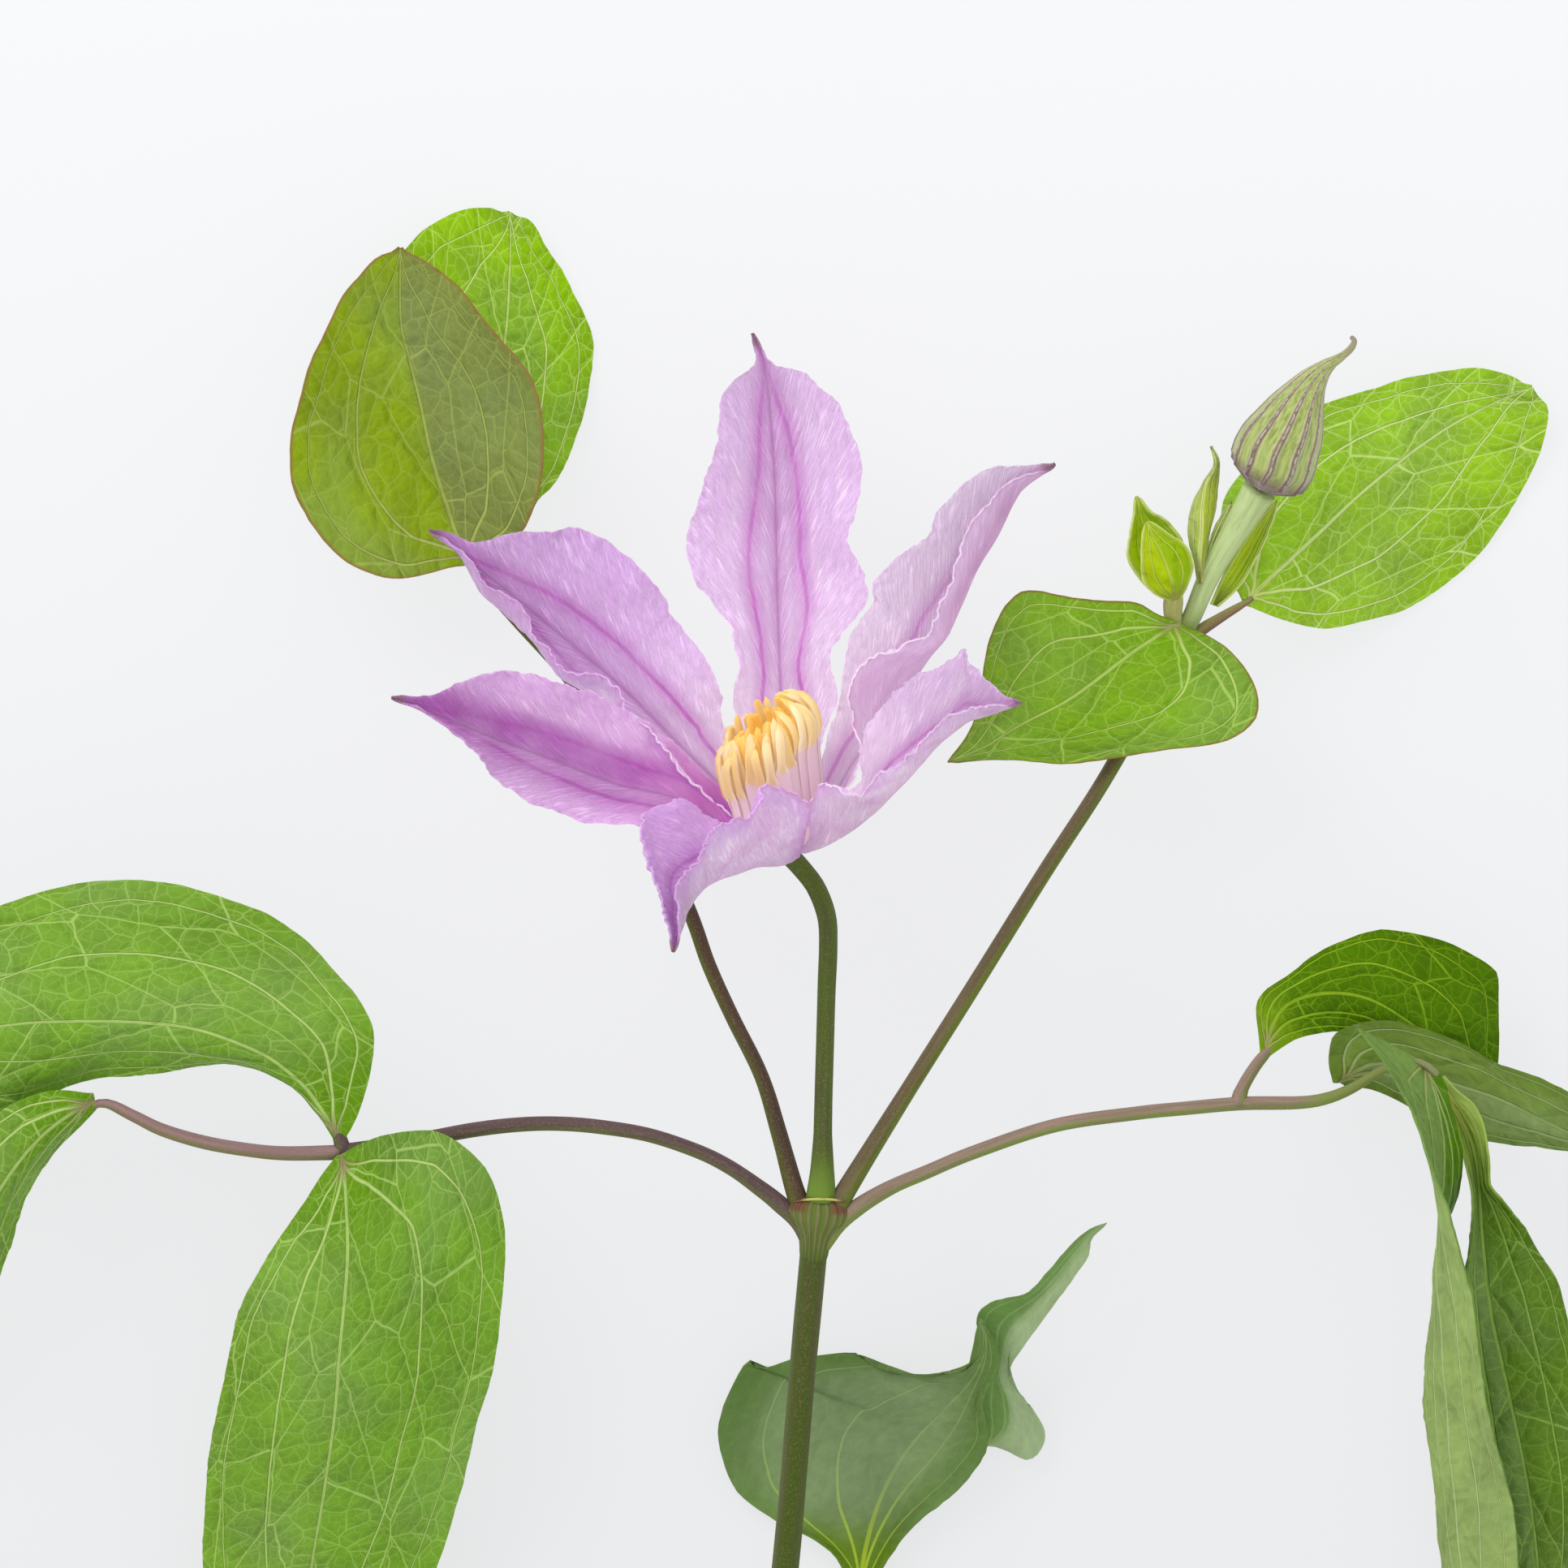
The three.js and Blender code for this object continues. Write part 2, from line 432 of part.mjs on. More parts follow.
addPiece('leaf_upper_left_back', blade({
  rails: [
    [[-41.9, 79.6, 12.6], [-47, 84, 10.2], [-52, 90, 8.2], [-55.4, 98, 7], [-56.4, 106, 6.4],
      [-55, 113, 6], [-51.5, 117.7, 5.6], [-49, 120.3, 5.2], [-45, 122.5, 4.8], [-41.6, 123, 4.6],
      [-39, 122.6, 4.4]],
    [[-41.2, 79.8, 12.8], [-41, 86, 9.6], [-40.4, 93, 7], [-39.6, 101, 5.2], [-38.8, 109, 4.2],
      [-38.4, 117, 3.8], [-38.4, 122.4, 4.2]],
    [[-40.4, 79.8, 12.6], [-38.4, 81.6, 11], [-36.4, 84, 9], [-34.9, 86.6, 7.2], [-33, 88.6, 5.6],
      [-31, 92.5, 3.8], [-29.2, 98, 1.8], [-28.3, 104, 0.6], [-28.3, 107, 0.4], [-29, 109, 0.4],
      [-30.4, 112, 0.8], [-32, 115.2, 1.6], [-34, 118.2, 2.6], [-35.5, 121, 3.6], [-37.8, 122.4, 4]],
  ],
}), leafGreen);

// ---------- leaf pair at the end of the right side shoot ----------
addPiece('leaf_upper_right_front', blade({
  rails: [
    [[45.2, 70.8, 17.2], [48, 69.6, 18.4], [51, 67.5, 19.4], [53.5, 64, 20.2], [54.2, 61.2, 20.6],
      [53.5, 59, 20.8], [50, 56.7, 20.8], [43, 55.6, 20.6], [36, 54.6, 20.4], [30, 53.9, 20.2],
      [24, 54.4, 20], [19, 54.3, 19.6], [16, 53.7, 19.4]],
    [[44.5, 71.3, 17.4], [41.6, 69.6, 19.4], [38, 67.2, 21], [31, 62, 22.6], [25, 58.8, 22],
      [20.4, 56, 20.6], [15.8, 54.1, 19.6]],
    [[43.7, 71.6, 17.4], [41.5, 72.4, 18.2], [39, 73.8, 19], [35, 74, 19.8], [31, 74.4, 20.2],
      [27, 75.2, 20.4], [24.4, 74.9, 20.4], [22.4, 72.5, 20.2], [20.8, 68.5, 20], [20, 64.5, 19.8],
      [19, 59, 19.6], [17, 55.7, 19.4], [15.6, 54.6, 19.4]],
  ],
}), leafGreen);

addPiece('leaf_upper_right_back', blade({
  rails: [
    [[52.5, 74.3, 13.4], [51, 76.4, 13], [50, 79, 12.4], [49.8, 82, 11.6], [50, 86, 10.6],
      [51.5, 89, 9.8],
      [55, 93, 8.8], [59, 96.5, 8], [63, 98.7, 7.4], [69, 100.5, 6.8], [73, 101.8, 6.4], [79, 102.8, 6],
      [82, 103, 5.8], [85.5, 102.2, 5.4], [88, 101, 5]],
    [[52.8, 73.9, 13.4], [56, 77, 12], [61, 81.6, 9.6], [69, 89, 6.6], [77, 95, 4.8], [84, 98.8, 4.2],
      [88.6, 100.6, 4.6]],
    [[53.1, 73.5, 13.2], [54.6, 72.8, 11.8], [57.4, 71.8, 9.6], [61, 70.9, 7], [64, 70.8, 5], [69, 72, 2.6],
      [73, 73.2, 1], [77.5, 76, 0.4], [82, 80, 0.4], [85, 84, 0.6], [87.4, 88, 1], [89.5, 92.5, 2],
      [90.6, 97.5, 3.2], [89.4, 100, 4]],
  ],
}), leafGreen);

// ---------- bud and young leaves at the right node ----------
addPiece('bud_stalk', stalk({
  route: [[46.05, 72.2, 15.5], [46.8, 74, 15.8], [47.6, 76, 16.4], [48.8, 78.4, 17.2], [51.4, 83, 19.2],
    [53.2, 86, 20.6], [54.2, 87.7, 21.4]],
  girth: [1.05, 1.2, 1.3, 1.4, 1.6, 1.85, 2],
  steps: 9,
}), budStriped);

addPiece('bud', stalk({
  route: [[54.45, 88.15, 21.7], [55.6, 90.4, 22.4], [56.4, 92.6, 23], [57.6, 95, 23.6], [59, 98, 24.2],
    [60.6, 100.8, 24.6], [62.4, 102.8, 24.8], [64.2, 104, 24.8], [65.4, 105, 24.6], [65.9, 106, 24.2]],
  girth: [1.9, 4.4, 5, 5.05, 4.85, 4.5, 4.05, 3.5, 2.85, 2.2, 1.6, 1.05, 0.65, 0.45, 0.35],
  sides: 2 * BUD_RIBS,
  steps: 13,
  ribs: BUD_RIBS,
  ribDepth: 0.05,
}), budStriped);

const youngOuter = blade({
  rails: [
    [[43.2, 73.9, 17.4], [40.4, 75.8, 18], [38.9, 77.6, 18.4], [38.1, 79.4, 18.6], [38.3, 82, 18.8],
      [38.8, 84.6, 19], [38.9, 86.8, 19]],
    [[43.8, 74.2, 16.4], [42, 77.4, 16.2], [40.8, 80.4, 16.6], [40, 83.4, 17.6], [39.2, 86.9, 19]],
    [[44.4, 74.6, 17.2], [45, 78, 18], [44.8, 81.4, 18.6], [43, 83.8, 18.8], [41, 85, 19],
      [39.6, 86.8, 19]],
  ],
  along: 8,
  across: 4,
});
const youngInner = blade({
  rails: [
    [[43.2, 74, 18.8], [41.2, 74.9, 20], [39.8, 76.6, 20.8], [39.6, 79.6, 21.2], [39.8, 82.4, 21],
      [40.2, 83.6, 20.8]],
    [[43.9, 74.2, 19.4], [43.4, 76.6, 22.2], [42.4, 79.2, 23], [41.2, 81.8, 22.2], [40.4, 83.8, 21]],
    [[44.7, 74.4, 18.8], [45.6, 76.4, 20], [46.1, 78.6, 20.8], [45.2, 80.8, 21.2], [43, 82.4, 21.2],
      [40.8, 83.9, 20.8]],
  ],
  along: 8,
  across: 4,
});
const youngStub = stalk({
  route: [[43.5, 72.15, 15.5], [43.6, 73.6, 16.9], [43.8, 75, 18.6]],
  girth: [1.1, 1.3, 1.1],
  steps: 2,
});
addPiece('young_leaves_left', grownTogether([youngOuter, youngInner, youngStub]), youngGreen);

// Three narrow leaves, still folded, clasp the bud's stalk from behind and are joined by a sheath.
const youngFolded = stalk({
  route: [[46.1, 77, 18.1], [46.2, 79.4, 18.5], [46.6, 83, 19.4], [47.3, 86.4, 19.8], [48.4, 90, 20],
    [48.3, 93, 20.2]],
  girth: [0.6, 0.95, 1.35, 1.35, 1.1, 0.8, 0.3],
  sides: 8,
  steps: 8,
});
const youngNarrow = stalk({
  route: [[47, 80, 19], [48.4, 82.4, 19.4], [49.4, 84.4, 19.8], [50.4, 86.2, 20]],
  girth: [0.5, 0.65, 0.5, 0.3],
  sides: 6,
  steps: 4,
});
const youngRight = stalk({
  route: [[48.9, 73.7, 14.1], [51, 77, 15.4], [53, 80.5, 16.6], [55, 84, 17.6], [56.4, 86.4, 18.4]],
  girth: [0.5, 0.9, 1.15, 1, 0.35],
  sides: 8,
  steps: 8,
});
const youngSheath = stalk({
  route: [[46, 78, 18.4], [46.1, 77.6, 17.2], [46.2, 77.4, 15.6], [47, 76.6, 14.3], [48.4, 75.4, 13.8],
    [49.9, 75, 14.5]],
  girth: [0.4, 0.45, 0.45, 0.5, 0.5, 0.45],
  sides: 6,
  steps: 8,
});
addPiece('young_leaves_middle',
  grownTogether([youngFolded, youngNarrow, youngRight, youngSheath]), youngGreen);

// ---------- flower ----------
// Sepals are named by place round the flower, clockwise from the one that points up the shoot.
addPiece('sepal_top', blade({
  rails: [
    [[-5.2, 45.7, 27.6], [-8, 53, 26.8], [-10, 59.5, 26.6], [-10.7, 62, 26.8], [-10.4, 65.5, 26.6],
      [-10.3, 67, 26.4], [-11, 70, 26.4], [-12.2, 72.6, 26.2], [-13.8, 74.8, 26], [-15.6, 76.4, 25.8],
      [-16.4, 78.6, 25.4], [-16.5, 81.5, 25], [-15, 86, 24.6], [-14, 89, 24.2], [-13, 92, 23.8],
      [-12.6, 95, 23.2], [-12.3, 98.8, 22.2], [-10.5, 101.2, 21.2], [-8.6, 102.6, 20.4], [-7.8, 104, 20],
      [-8.7, 107, 19.4]],
    [[-4.4, 45.4, 27.3], [-4.6, 55, 25.2], [-4.7, 60, 24.6], [-5, 68, 23.8], [-5.3, 78, 22.8],
      [-5.5, 88, 21.8], [-6, 96, 20.8], [-6.8, 103, 19.8], [-8.3, 107.1, 19.2]],
    [[-3.6, 45.5, 27.6], [-1, 53, 26.2], [0.5, 57.5, 26], [1.8, 61, 26.2], [2, 63.5, 26.4],
      [1.5, 66, 26.4], [1.8, 68, 26.4], [3.6, 71, 26.6], [5.6, 73.6, 26.8], [5.8, 75, 26.8],
      [5.1, 77.4, 26.4], [3.8, 80.5, 25.8], [3.9, 82.6, 25.6], [4.6, 84.6, 25.4], [5, 89, 24.8],
      [4.8, 91.5, 24.4], [3.5, 96, 23.4], [2.4, 98.2, 22.8], [0.5, 100, 22.2], [-2, 102.1, 21.4],
      [-5.6, 103, 20.4], [-6.9, 104.3, 20], [-7.8, 107, 19.4]],
  ],
  along: 18,
  thick: SEPAL_THICK,
  ripple: 0.7,
  waves: 4,
}), sepalLilac);

addPiece('sepal_upper_right', blade({
  rails: [
    [[-2.4, 46.2, 28.4], [0.2, 54.5, 28.6], [1.2, 58, 29.2], [2, 60, 29.8], [2.8, 64, 30.8],
      [3.5, 69, 32], [5, 71.5, 33], [6.7, 73.8, 33.6], [6.4, 75.8, 34], [8, 78, 34.5], [10.5, 80, 35],
      [13.3, 81.6, 35.4], [13.9, 83.4, 35.6], [15, 85.5, 36], [18, 88.5, 36.6], [21.5, 90.3, 37],
      [23, 90.3, 37.2], [26.4, 90.5, 37.5], [28.6, 91, 38]],
    [[-1.5, 45.2, 28.6], [1, 48.5, 28.4], [3.5, 53, 28.8], [7, 58, 29.8], [10.5, 63, 31], [13, 66.5, 32],
      [15, 69.5, 32.6], [17, 73.5, 33.6], [19, 78, 34.6], [21.5, 82, 35.4], [23.5, 86, 36],
      [25, 88, 36.4], [28.8, 90.6, 37.8]],
    [[-0.6, 44.6, 29.4], [2, 48.5, 31], [5, 54, 34], [4.2, 58.8, 36.6], [3.5, 62, 38.4], [4.2, 65, 39.6],
      [5.8, 66.8, 40.4], [8, 67.8, 40.8], [10.4, 68.4, 41], [13.4, 69.6, 41], [15, 74, 41],
      [17, 80, 40.8], [20.5, 85.5, 39.8], [24, 88.8, 38.8], [29, 90.1, 38]],
  ],
  along: 18,
  thick: SEPAL_THICK,
  ripple: 0.4,
  waves: 4,
}), sepalLilac);

addPiece('sepal_right', blade({
  rails: [
    [[-0.9, 44.2, 30.8], [2.5, 49.5, 33], [5.2, 52, 36], [5.3, 55.5, 40], [6, 59, 44], [9, 62.4, 49],
      [13, 65, 54], [16, 66.8, 58.4], [17.4, 67.8, 61], [18.2, 66.2, 62.6], [19.5, 64.8, 65],
      [22.4, 62, 69.6], [24, 61.8, 73]],
    [[-1.6, 43.2, 31], [1, 44.2, 34], [5, 46.8, 40], [9, 50.4, 46.5], [13, 54.8, 53.5],
      [15.5, 57.5, 58.5], [18, 59.4, 62.5], [20.5, 60, 66.5], [24.1, 61.2, 73.2]],
    [[-2.8, 43, 31], [-2.2, 46, 34], [-1.7, 48.6, 37.4], [-0.5, 50.9, 42], [1.2, 51.3, 46.4],
      [3.6, 50.4, 51], [5, 50.6, 54], [6.5, 51.5, 57], [9, 53.5, 60], [12, 56.5, 64], [15, 59, 68],
      [17.5, 60.4, 70.4], [20.5, 60.9, 72.4], [24, 60.7, 73.8]],
  ],
  along: 16,
  thick: SEPAL_THICK,
  ripple: 0.4,
  waves: 4,
}), sepalLilac);

addPiece('sepal_front', blade({
  rails: [
    [[-2.5, 42.5, 32], [-1.9, 44.8, 35], [-1.6, 47, 38.4], [-1.3, 49, 41.6], [-1.9, 50.5, 44.4],
      [-4.2, 51.1, 47], [-6.6, 51.1, 50], [-7.1, 49.6, 52], [-8.6, 48, 54.5], [-11.5, 46.6, 58],
      [-13, 45, 62],
      [-15.5, 42, 68.5], [-17.1, 39.4, 74], [-17.2, 37, 78], [-17, 34, 82], [-17.2, 31.6, 85]],
    [[-3.9, 41.9, 31.6], [-5, 41.6, 34], [-8, 41.3, 39], [-12, 40, 47], [-15.2, 38.2, 56.5],
      [-16.3, 36.6, 64], [-16.9, 34.7, 72.5], [-17.3, 33, 79.5], [-17.7, 31.4, 85]],
    [[-4.9, 42.2, 31.8], [-9.5, 45.2, 37], [-13, 47.4, 41], [-14.9, 48, 43.6], [-16.8, 49.3, 47],
      [-18.7, 49, 51], [-20.8, 48.5, 55], [-21.6, 47, 58.5], [-22, 45, 62], [-20.7, 41.5, 69],
      [-20.1, 39.4, 72.5], [-18.9, 36, 78], [-18.1, 34, 81.5], [-18.1, 31.8, 85]],
  ],
  along: 16,
  thick: SEPAL_THICK,
  ripple: 0.4,
  waves: 4,
}), sepalLilac);

addPiece('sepal_left', blade({
  rails: [
    [[-6.7, 42.4, 31.8], [-12, 44.4, 34], [-18, 45, 38], [-21.5, 45.6, 40.4], [-23.5, 46.4, 41.4],
      [-27, 46.7, 43], [-31, 47.7, 44.6], [-35.5, 49, 47], [-39, 52, 49.4], [-41, 54.2, 51],
      [-44.5, 57.5, 54], [-47.5, 60, 56.6], [-49.6, 61.1, 58], [-52, 61.5, 59]],
    [[-7.2, 43.3, 30.9], [-16, 49, 34.2], [-25, 51.5, 39], [-33, 54.5, 44.6], [-41, 57.5, 50.4],
      [-47.5, 60.3, 55.8], [-52, 61.9, 58.8]],
    [[-7.3, 44.3, 30.4], [-12.5, 49, 33], [-17, 53, 37], [-19.4, 55.3, 39], [-20.7, 56.2, 40.4],
      [-21.2, 58, 41.6], [-23.5, 60, 43], [-26.5, 61.8, 44.6], [-29.5, 63, 46], [-33, 64.2, 48],
      [-37, 65, 50], [-40, 65, 52], [-43.5, 64, 54], [-46.5, 62.4, 56], [-49, 61.9, 57.6],
      [-52, 62.4, 59]],
  ],
  along: 16,
  thick: SEPAL_THICK,
  ripple: 0.6,
  waves: 4,
}), sepalLilac);

addPiece('sepal_upper_left', blade({
  rails: [
    [[-7.6, 45, 29.2], [-15, 52.4, 31.4], [-21, 58, 35], [-24.4, 61.6, 37.6], [-25.2, 64, 39],
      [-28, 64.4, 39.2], [-31, 64.9, 38.8], [-32.4, 66.2, 38.4], [-33.7, 68.2, 38], [-35.2, 70.2, 37.4],
      [-35.8, 72.4, 37.2], [-38, 74.2, 37.2], [-41, 75.6, 37.2], [-42.2, 77.6, 37.2], [-43.4, 79.6, 37],
      [-46, 81.5, 36.6], [-47.7, 82.1, 36.2]],
    [[-7.2, 45.2, 28.7], [-15.4, 52, 29.8], [-22.6, 58.4, 32.4], [-27.5, 61.9, 34.6], [-29.6, 63.3, 35],
      [-31.6, 64.8, 35.2], [-33.4, 66.8, 35.2], [-35.4, 69.2, 35], [-37.4, 71.2, 35], [-39.4, 73.2, 35],
      [-41.4, 75, 35], [-42.6, 77, 35], [-44.4, 80, 35.3], [-47.9, 82.3, 35.9]],
    [[-6.8, 45.4, 28.3], [-14, 53, 29], [-19, 58, 30.2], [-25, 64, 32], [-31, 69, 33], [-37, 74, 34],
      [-42, 78, 34.8], [-47.9, 82.6, 35.8]],
    [[-6.4, 45.9, 28.1], [-9.4, 52.6, 28.4], [-12.1, 60, 29.2], [-12.1, 62, 29.4], [-13.5, 66, 30],
      [-16, 69.5, 30.5], [-18.4, 72.4, 31], [-18.9, 74, 31], [-22, 77.5, 31.6], [-24.5, 80, 32],
      [-27, 81.7, 32.3], [-30.5, 82.8, 33], [-33, 82.3, 33.5], [-36.5, 82.4, 34], [-38.5, 82, 34.5],
      [-42.5, 81, 35], [-45, 82, 35.5], [-47.8, 83, 36]],
  ],
  along: 18,
  thick: SEPAL_THICK,
  ripple: 0.4,
  waves: 4,
}), sepalLilac);

// The boss of stamens stands on a short cone, the receptacle, and is higher on its right.
function flowerCentre() {
  const base = new THREE.Vector3(-4.25, 43.6, 29.1);
  const axis = new THREE.Vector3(-0.14, 0.86, 0.5).normalize();
  const right = new THREE.Vector3(1, 0, 0).addScaledVector(axis, -axis.x).normalize();
  const back = axis.clone().cross(right);
  const place = (turn, radius, height) => base.clone()
    .addScaledVector(axis, height)
    .addScaledVector(right, radius * Math.cos(turn))
    .addScaledVector(back, radius * Math.sin(turn))
    .toArray();
  const stamen = (turn, ring, length) => stalk({
    route: [
      place(turn, 0.15 * ring, 1.8),
      place(turn, 0.76 * ring, 6.5),
      place(turn, 0.98 * ring, length - ANTHER_LENGTH),
      place(turn, 1.04 * ring, length - 0.5 * ANTHER_LENGTH),
      place(turn, 0.85 * ring, length),
    ],
    girth: [
      ...Array(3).fill(FILAMENT_RADIUS),
      ...Array(3).fill(ANTHER_RADIUS),
      0.5 * ANTHER_RADIUS,
    ],
    sides: 4,
    steps: 5,
  });
  const cone = new THREE.LatheGeometry([[0, 0], [1.1, 0], [1.2, 0.8], [1.4, 2.4], [2, 4.4], [0, 5.4]]
    .map((p) => new THREE.Vector2(...p)), 14);
  cone.deleteAttribute('uv');
  cone.deleteAttribute('normal');
  const stand = new THREE.Matrix4().makeBasis(right, axis, right.clone().cross(axis));
  cone.applyMatrix4(stand.setPosition(base));
  const pieces = [cone];
  for (let i = 0; i < STAMENS_OUTER; i += 1) {
    const turn = 2 * Math.PI * i / STAMENS_OUTER;
    const ring = STAMEN_RING * (1 + 0.05 * Math.sin(5 * turn));
    const length = STAMEN_LENGTH + CROWN_TILT * Math.cos(turn) + 0.8 * Math.sin(3 * i);
    pieces.push(stamen(turn, ring, length));
  }
  for (let i = 0; i < STAMENS_INNER; i += 1) {
    const turn = 2 * Math.PI * (i + 0.5) / STAMENS_INNER;
    const length = STAMEN_LENGTH + 0.55 * CROWN_TILT * Math.cos(turn) + 0.8 * Math.cos(3 * i);
    pieces.push(stamen(turn, 0.55 * STAMEN_RING, length));
  }
  return grownTogether(pieces);
}
addPiece('stamens', flowerCentre(), antherYellow);

plant.position.set(-CENTRE[0], -CENTRE[1], 0);

export default plant;
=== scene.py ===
# %% [markdown]
# # A cut clematis shoot, dressed in Blender
#
# The shoot lies on a pale surface: one open flower, a bud, young leaves, two side shoots and two
# divided leaves on long stalks. The CAD model gives every piece its place as plain solids. Here
# each one is made again as what it is, a thin veined sheet or a slender stalk, in the same frame.
# Loading the frame comes first.

# %% Load the frame
import math
import random

import bmesh
import bpy
import numpy as np
from mathutils import Matrix, Vector, noise


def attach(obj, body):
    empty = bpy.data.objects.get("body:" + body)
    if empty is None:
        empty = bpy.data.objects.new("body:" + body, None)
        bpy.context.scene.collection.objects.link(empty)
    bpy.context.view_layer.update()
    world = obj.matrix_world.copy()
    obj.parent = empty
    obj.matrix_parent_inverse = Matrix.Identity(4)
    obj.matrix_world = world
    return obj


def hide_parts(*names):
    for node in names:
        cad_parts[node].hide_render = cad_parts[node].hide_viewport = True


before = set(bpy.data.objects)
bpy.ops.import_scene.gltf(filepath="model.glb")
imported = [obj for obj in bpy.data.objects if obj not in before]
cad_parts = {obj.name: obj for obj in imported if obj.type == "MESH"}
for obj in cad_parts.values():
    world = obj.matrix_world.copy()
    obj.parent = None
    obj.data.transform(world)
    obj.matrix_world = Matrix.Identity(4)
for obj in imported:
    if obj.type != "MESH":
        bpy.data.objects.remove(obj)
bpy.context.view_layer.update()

# %% [markdown]
# ## Units and the zero point
#
# A plant is easiest to lay out round one of its own joints, so the points of every piece are given
# in millimetres from the upper leaf node, with Y up the shoot. Blender works in metres from the
# middle of the shoot's box, so one shift and one scale take each point to its place.

# %% From the plant's millimetres to metres
MM = 0.001
NODE_AT = np.array([3.11, -15.71, 0.0])


def in_frame(point):
    """A point in millimetres from the upper leaf node as metres in the frame, on or above Z 0."""
    x, y, z = (point + NODE_AT) * MM
    return x, y, max(z, 0)


# %% [markdown]
# ## Camera
#
# A flower that lies on a table is looked at from straight above. A long lens from far away keeps
# the raised sepals at the same scale as the leaves on the surface, as in a plant portrait.

# %% Camera
VIEW_WIDTH = 193.2 * MM
VIEW_MIDDLE = (-1.29 * MM, 35.69 * MM)
FOCUS_HEIGHT = 25 * MM
CAMERA_DISTANCE = 2.5
SENSOR = 36

camera_data = bpy.data.cameras.new("camera")
camera_data.sensor_width = SENSOR
camera_data.lens = SENSOR * CAMERA_DISTANCE / VIEW_WIDTH
camera_data.clip_end = 4 * CAMERA_DISTANCE
camera = bpy.data.objects.new("camera", camera_data)
camera.location = (*VIEW_MIDDLE, FOCUS_HEIGHT + CAMERA_DISTANCE)
bpy.context.scene.collection.objects.link(camera)
bpy.context.scene.camera = camera
print("lens in mm:", round(camera_data.lens, 1))

# %% [markdown]
# ## Surface and light
#
# Plant portraits are often laid on a light table: the surface glows a little by itself, so
# the leaves let light through and cast only faint shadows. A pale floor that is part glow and part
# plain paint does this, and its glow grows a little towards the flower's end.

# %% Floor
FLOOR_SIZE = 3
FLOOR_DROP = 0.3 * MM
FLOOR_PAINT = (0.1, 0.1, 0.103, 1)
FLOOR_LIGHT = (0.985, 0.99, 1, 1)
GLOW_FROM_Y, GLOW_TO_Y = -0.08, 0.14
GLOW_LOW, GLOW_HIGH = 0.71, 0.815


def floor_material():
    material = bpy.data.materials.new("floor")
    material.use_nodes = True
    nodes = material.node_tree.nodes
    links = material.node_tree.links
    shader = nodes["Principled BSDF"]
    shader.inputs["Base Color"].default_value = FLOOR_PAINT
    shader.inputs["Roughness"].default_value = 1
    shader.inputs["Specular IOR Level"].default_value = 0
    shader.inputs["Emission Color"].default_value = FLOOR_LIGHT
    place = nodes.new("ShaderNodeSeparateXYZ")
    glow = nodes.new("ShaderNodeMapRange")
    for socket, value in enumerate((GLOW_FROM_Y, GLOW_TO_Y, GLOW_LOW, GLOW_HIGH), start=1):
        glow.inputs[socket].default_value = value
    links.new(nodes.new("ShaderNodeTexCoord").outputs["Object"], place.inputs[0])
    links.new(place.outputs["Y"], glow.inputs[0])
    links.new(glow.outputs[0], shader.inputs["Emission Strength"])
    return material


def light_table():
    bm = bmesh.new()
    bmesh.ops.create_grid(bm, x_segments=1, y_segments=1, size=FLOOR_SIZE,
                          matrix=Matrix.Translation((0, 0, -FLOOR_DROP)))
    mesh = bpy.data.meshes.new("floor")
    bm.to_mesh(mesh)
    bm.free()
    mesh.materials.append(floor_material())
    floor = bpy.data.objects.new("floor", mesh)
    bpy.context.scene.collection.objects.link(floor)


light_table()

# %% [markdown]
# A white sky gives the even light, and one large soft lamp from the upper left gives the folds
# their shape. A point lamp would draw hard shadows instead. The standard view keeps the petals'
# clean colours.

# %% Sky and lamp
SKY_COLOUR = (0.98, 0.99, 1, 1)
SKY_STRENGTH = 1.18
LAMP_WATTS = 4.5
LAMP_SIZE = 0.5
LAMP_AT = Vector((-0.45, 0.6, 0.75))
LAMP_AIM = Vector((0, 0.03, 0.02))

sky = bpy.data.worlds.new("sky")
sky.use_nodes = True
sky.node_tree.nodes["Background"].inputs["Color"].default_value = SKY_COLOUR
sky.node_tree.nodes["Background"].inputs["Strength"].default_value = SKY_STRENGTH
bpy.context.scene.world = sky

lamp_data = bpy.data.lights.new("window", "AREA")
lamp_data.energy = LAMP_WATTS
lamp_data.size = LAMP_SIZE
lamp = bpy.data.objects.new("window", lamp_data)
lamp.location = LAMP_AT
lamp.rotation_mode = "QUATERNION"
lamp.rotation_quaternion = (LAMP_AIM - LAMP_AT).to_track_quat("-Z", "Y")
bpy.context.scene.collection.objects.link(lamp)
bpy.context.scene.view_settings.view_transform = "Standard"
print("lamp to shoot in m:", round((LAMP_AIM - LAMP_AT).length, 2))

# %% [markdown]
# ## Smooth curves through a few points
#
# A margin, a midrib or a stalk is drawn by the few points that its shape needs. A Catmull-Rom
# curve passes through every one of them, which makes it easy to place a leaf. A Bezier
# curve would need handles as well. Points are then taken at equal steps of length along it.

# %% Curve helpers
STEPS_PER_SPAN = 24
AXES = 3


def through(points, where):
    """The smooth curve through some points, at places from 0 to 1 along its spans."""
    points = np.asarray(points, float)
    first, last = 2 * points[0] - points[1], 2 * points[-1] - points[-2]
    ends = np.concatenate([[first], points, [last]])
    spans = len(points) - 1
    place = np.clip(where, 0, 1) * spans
    span = np.minimum(place.astype(int), spans - 1)
    w = (place - span).reshape(-1, *[1] * (points.ndim - 1))
    a, b, c, d = (ends[span + k] for k in range(4))
    bend = 2 * a - 5 * b + 4 * c - d
    return 0.5 * (2 * b + (c - a) * w + bend * w**2 + (3 * b - a - 3 * c + d) * w**3)


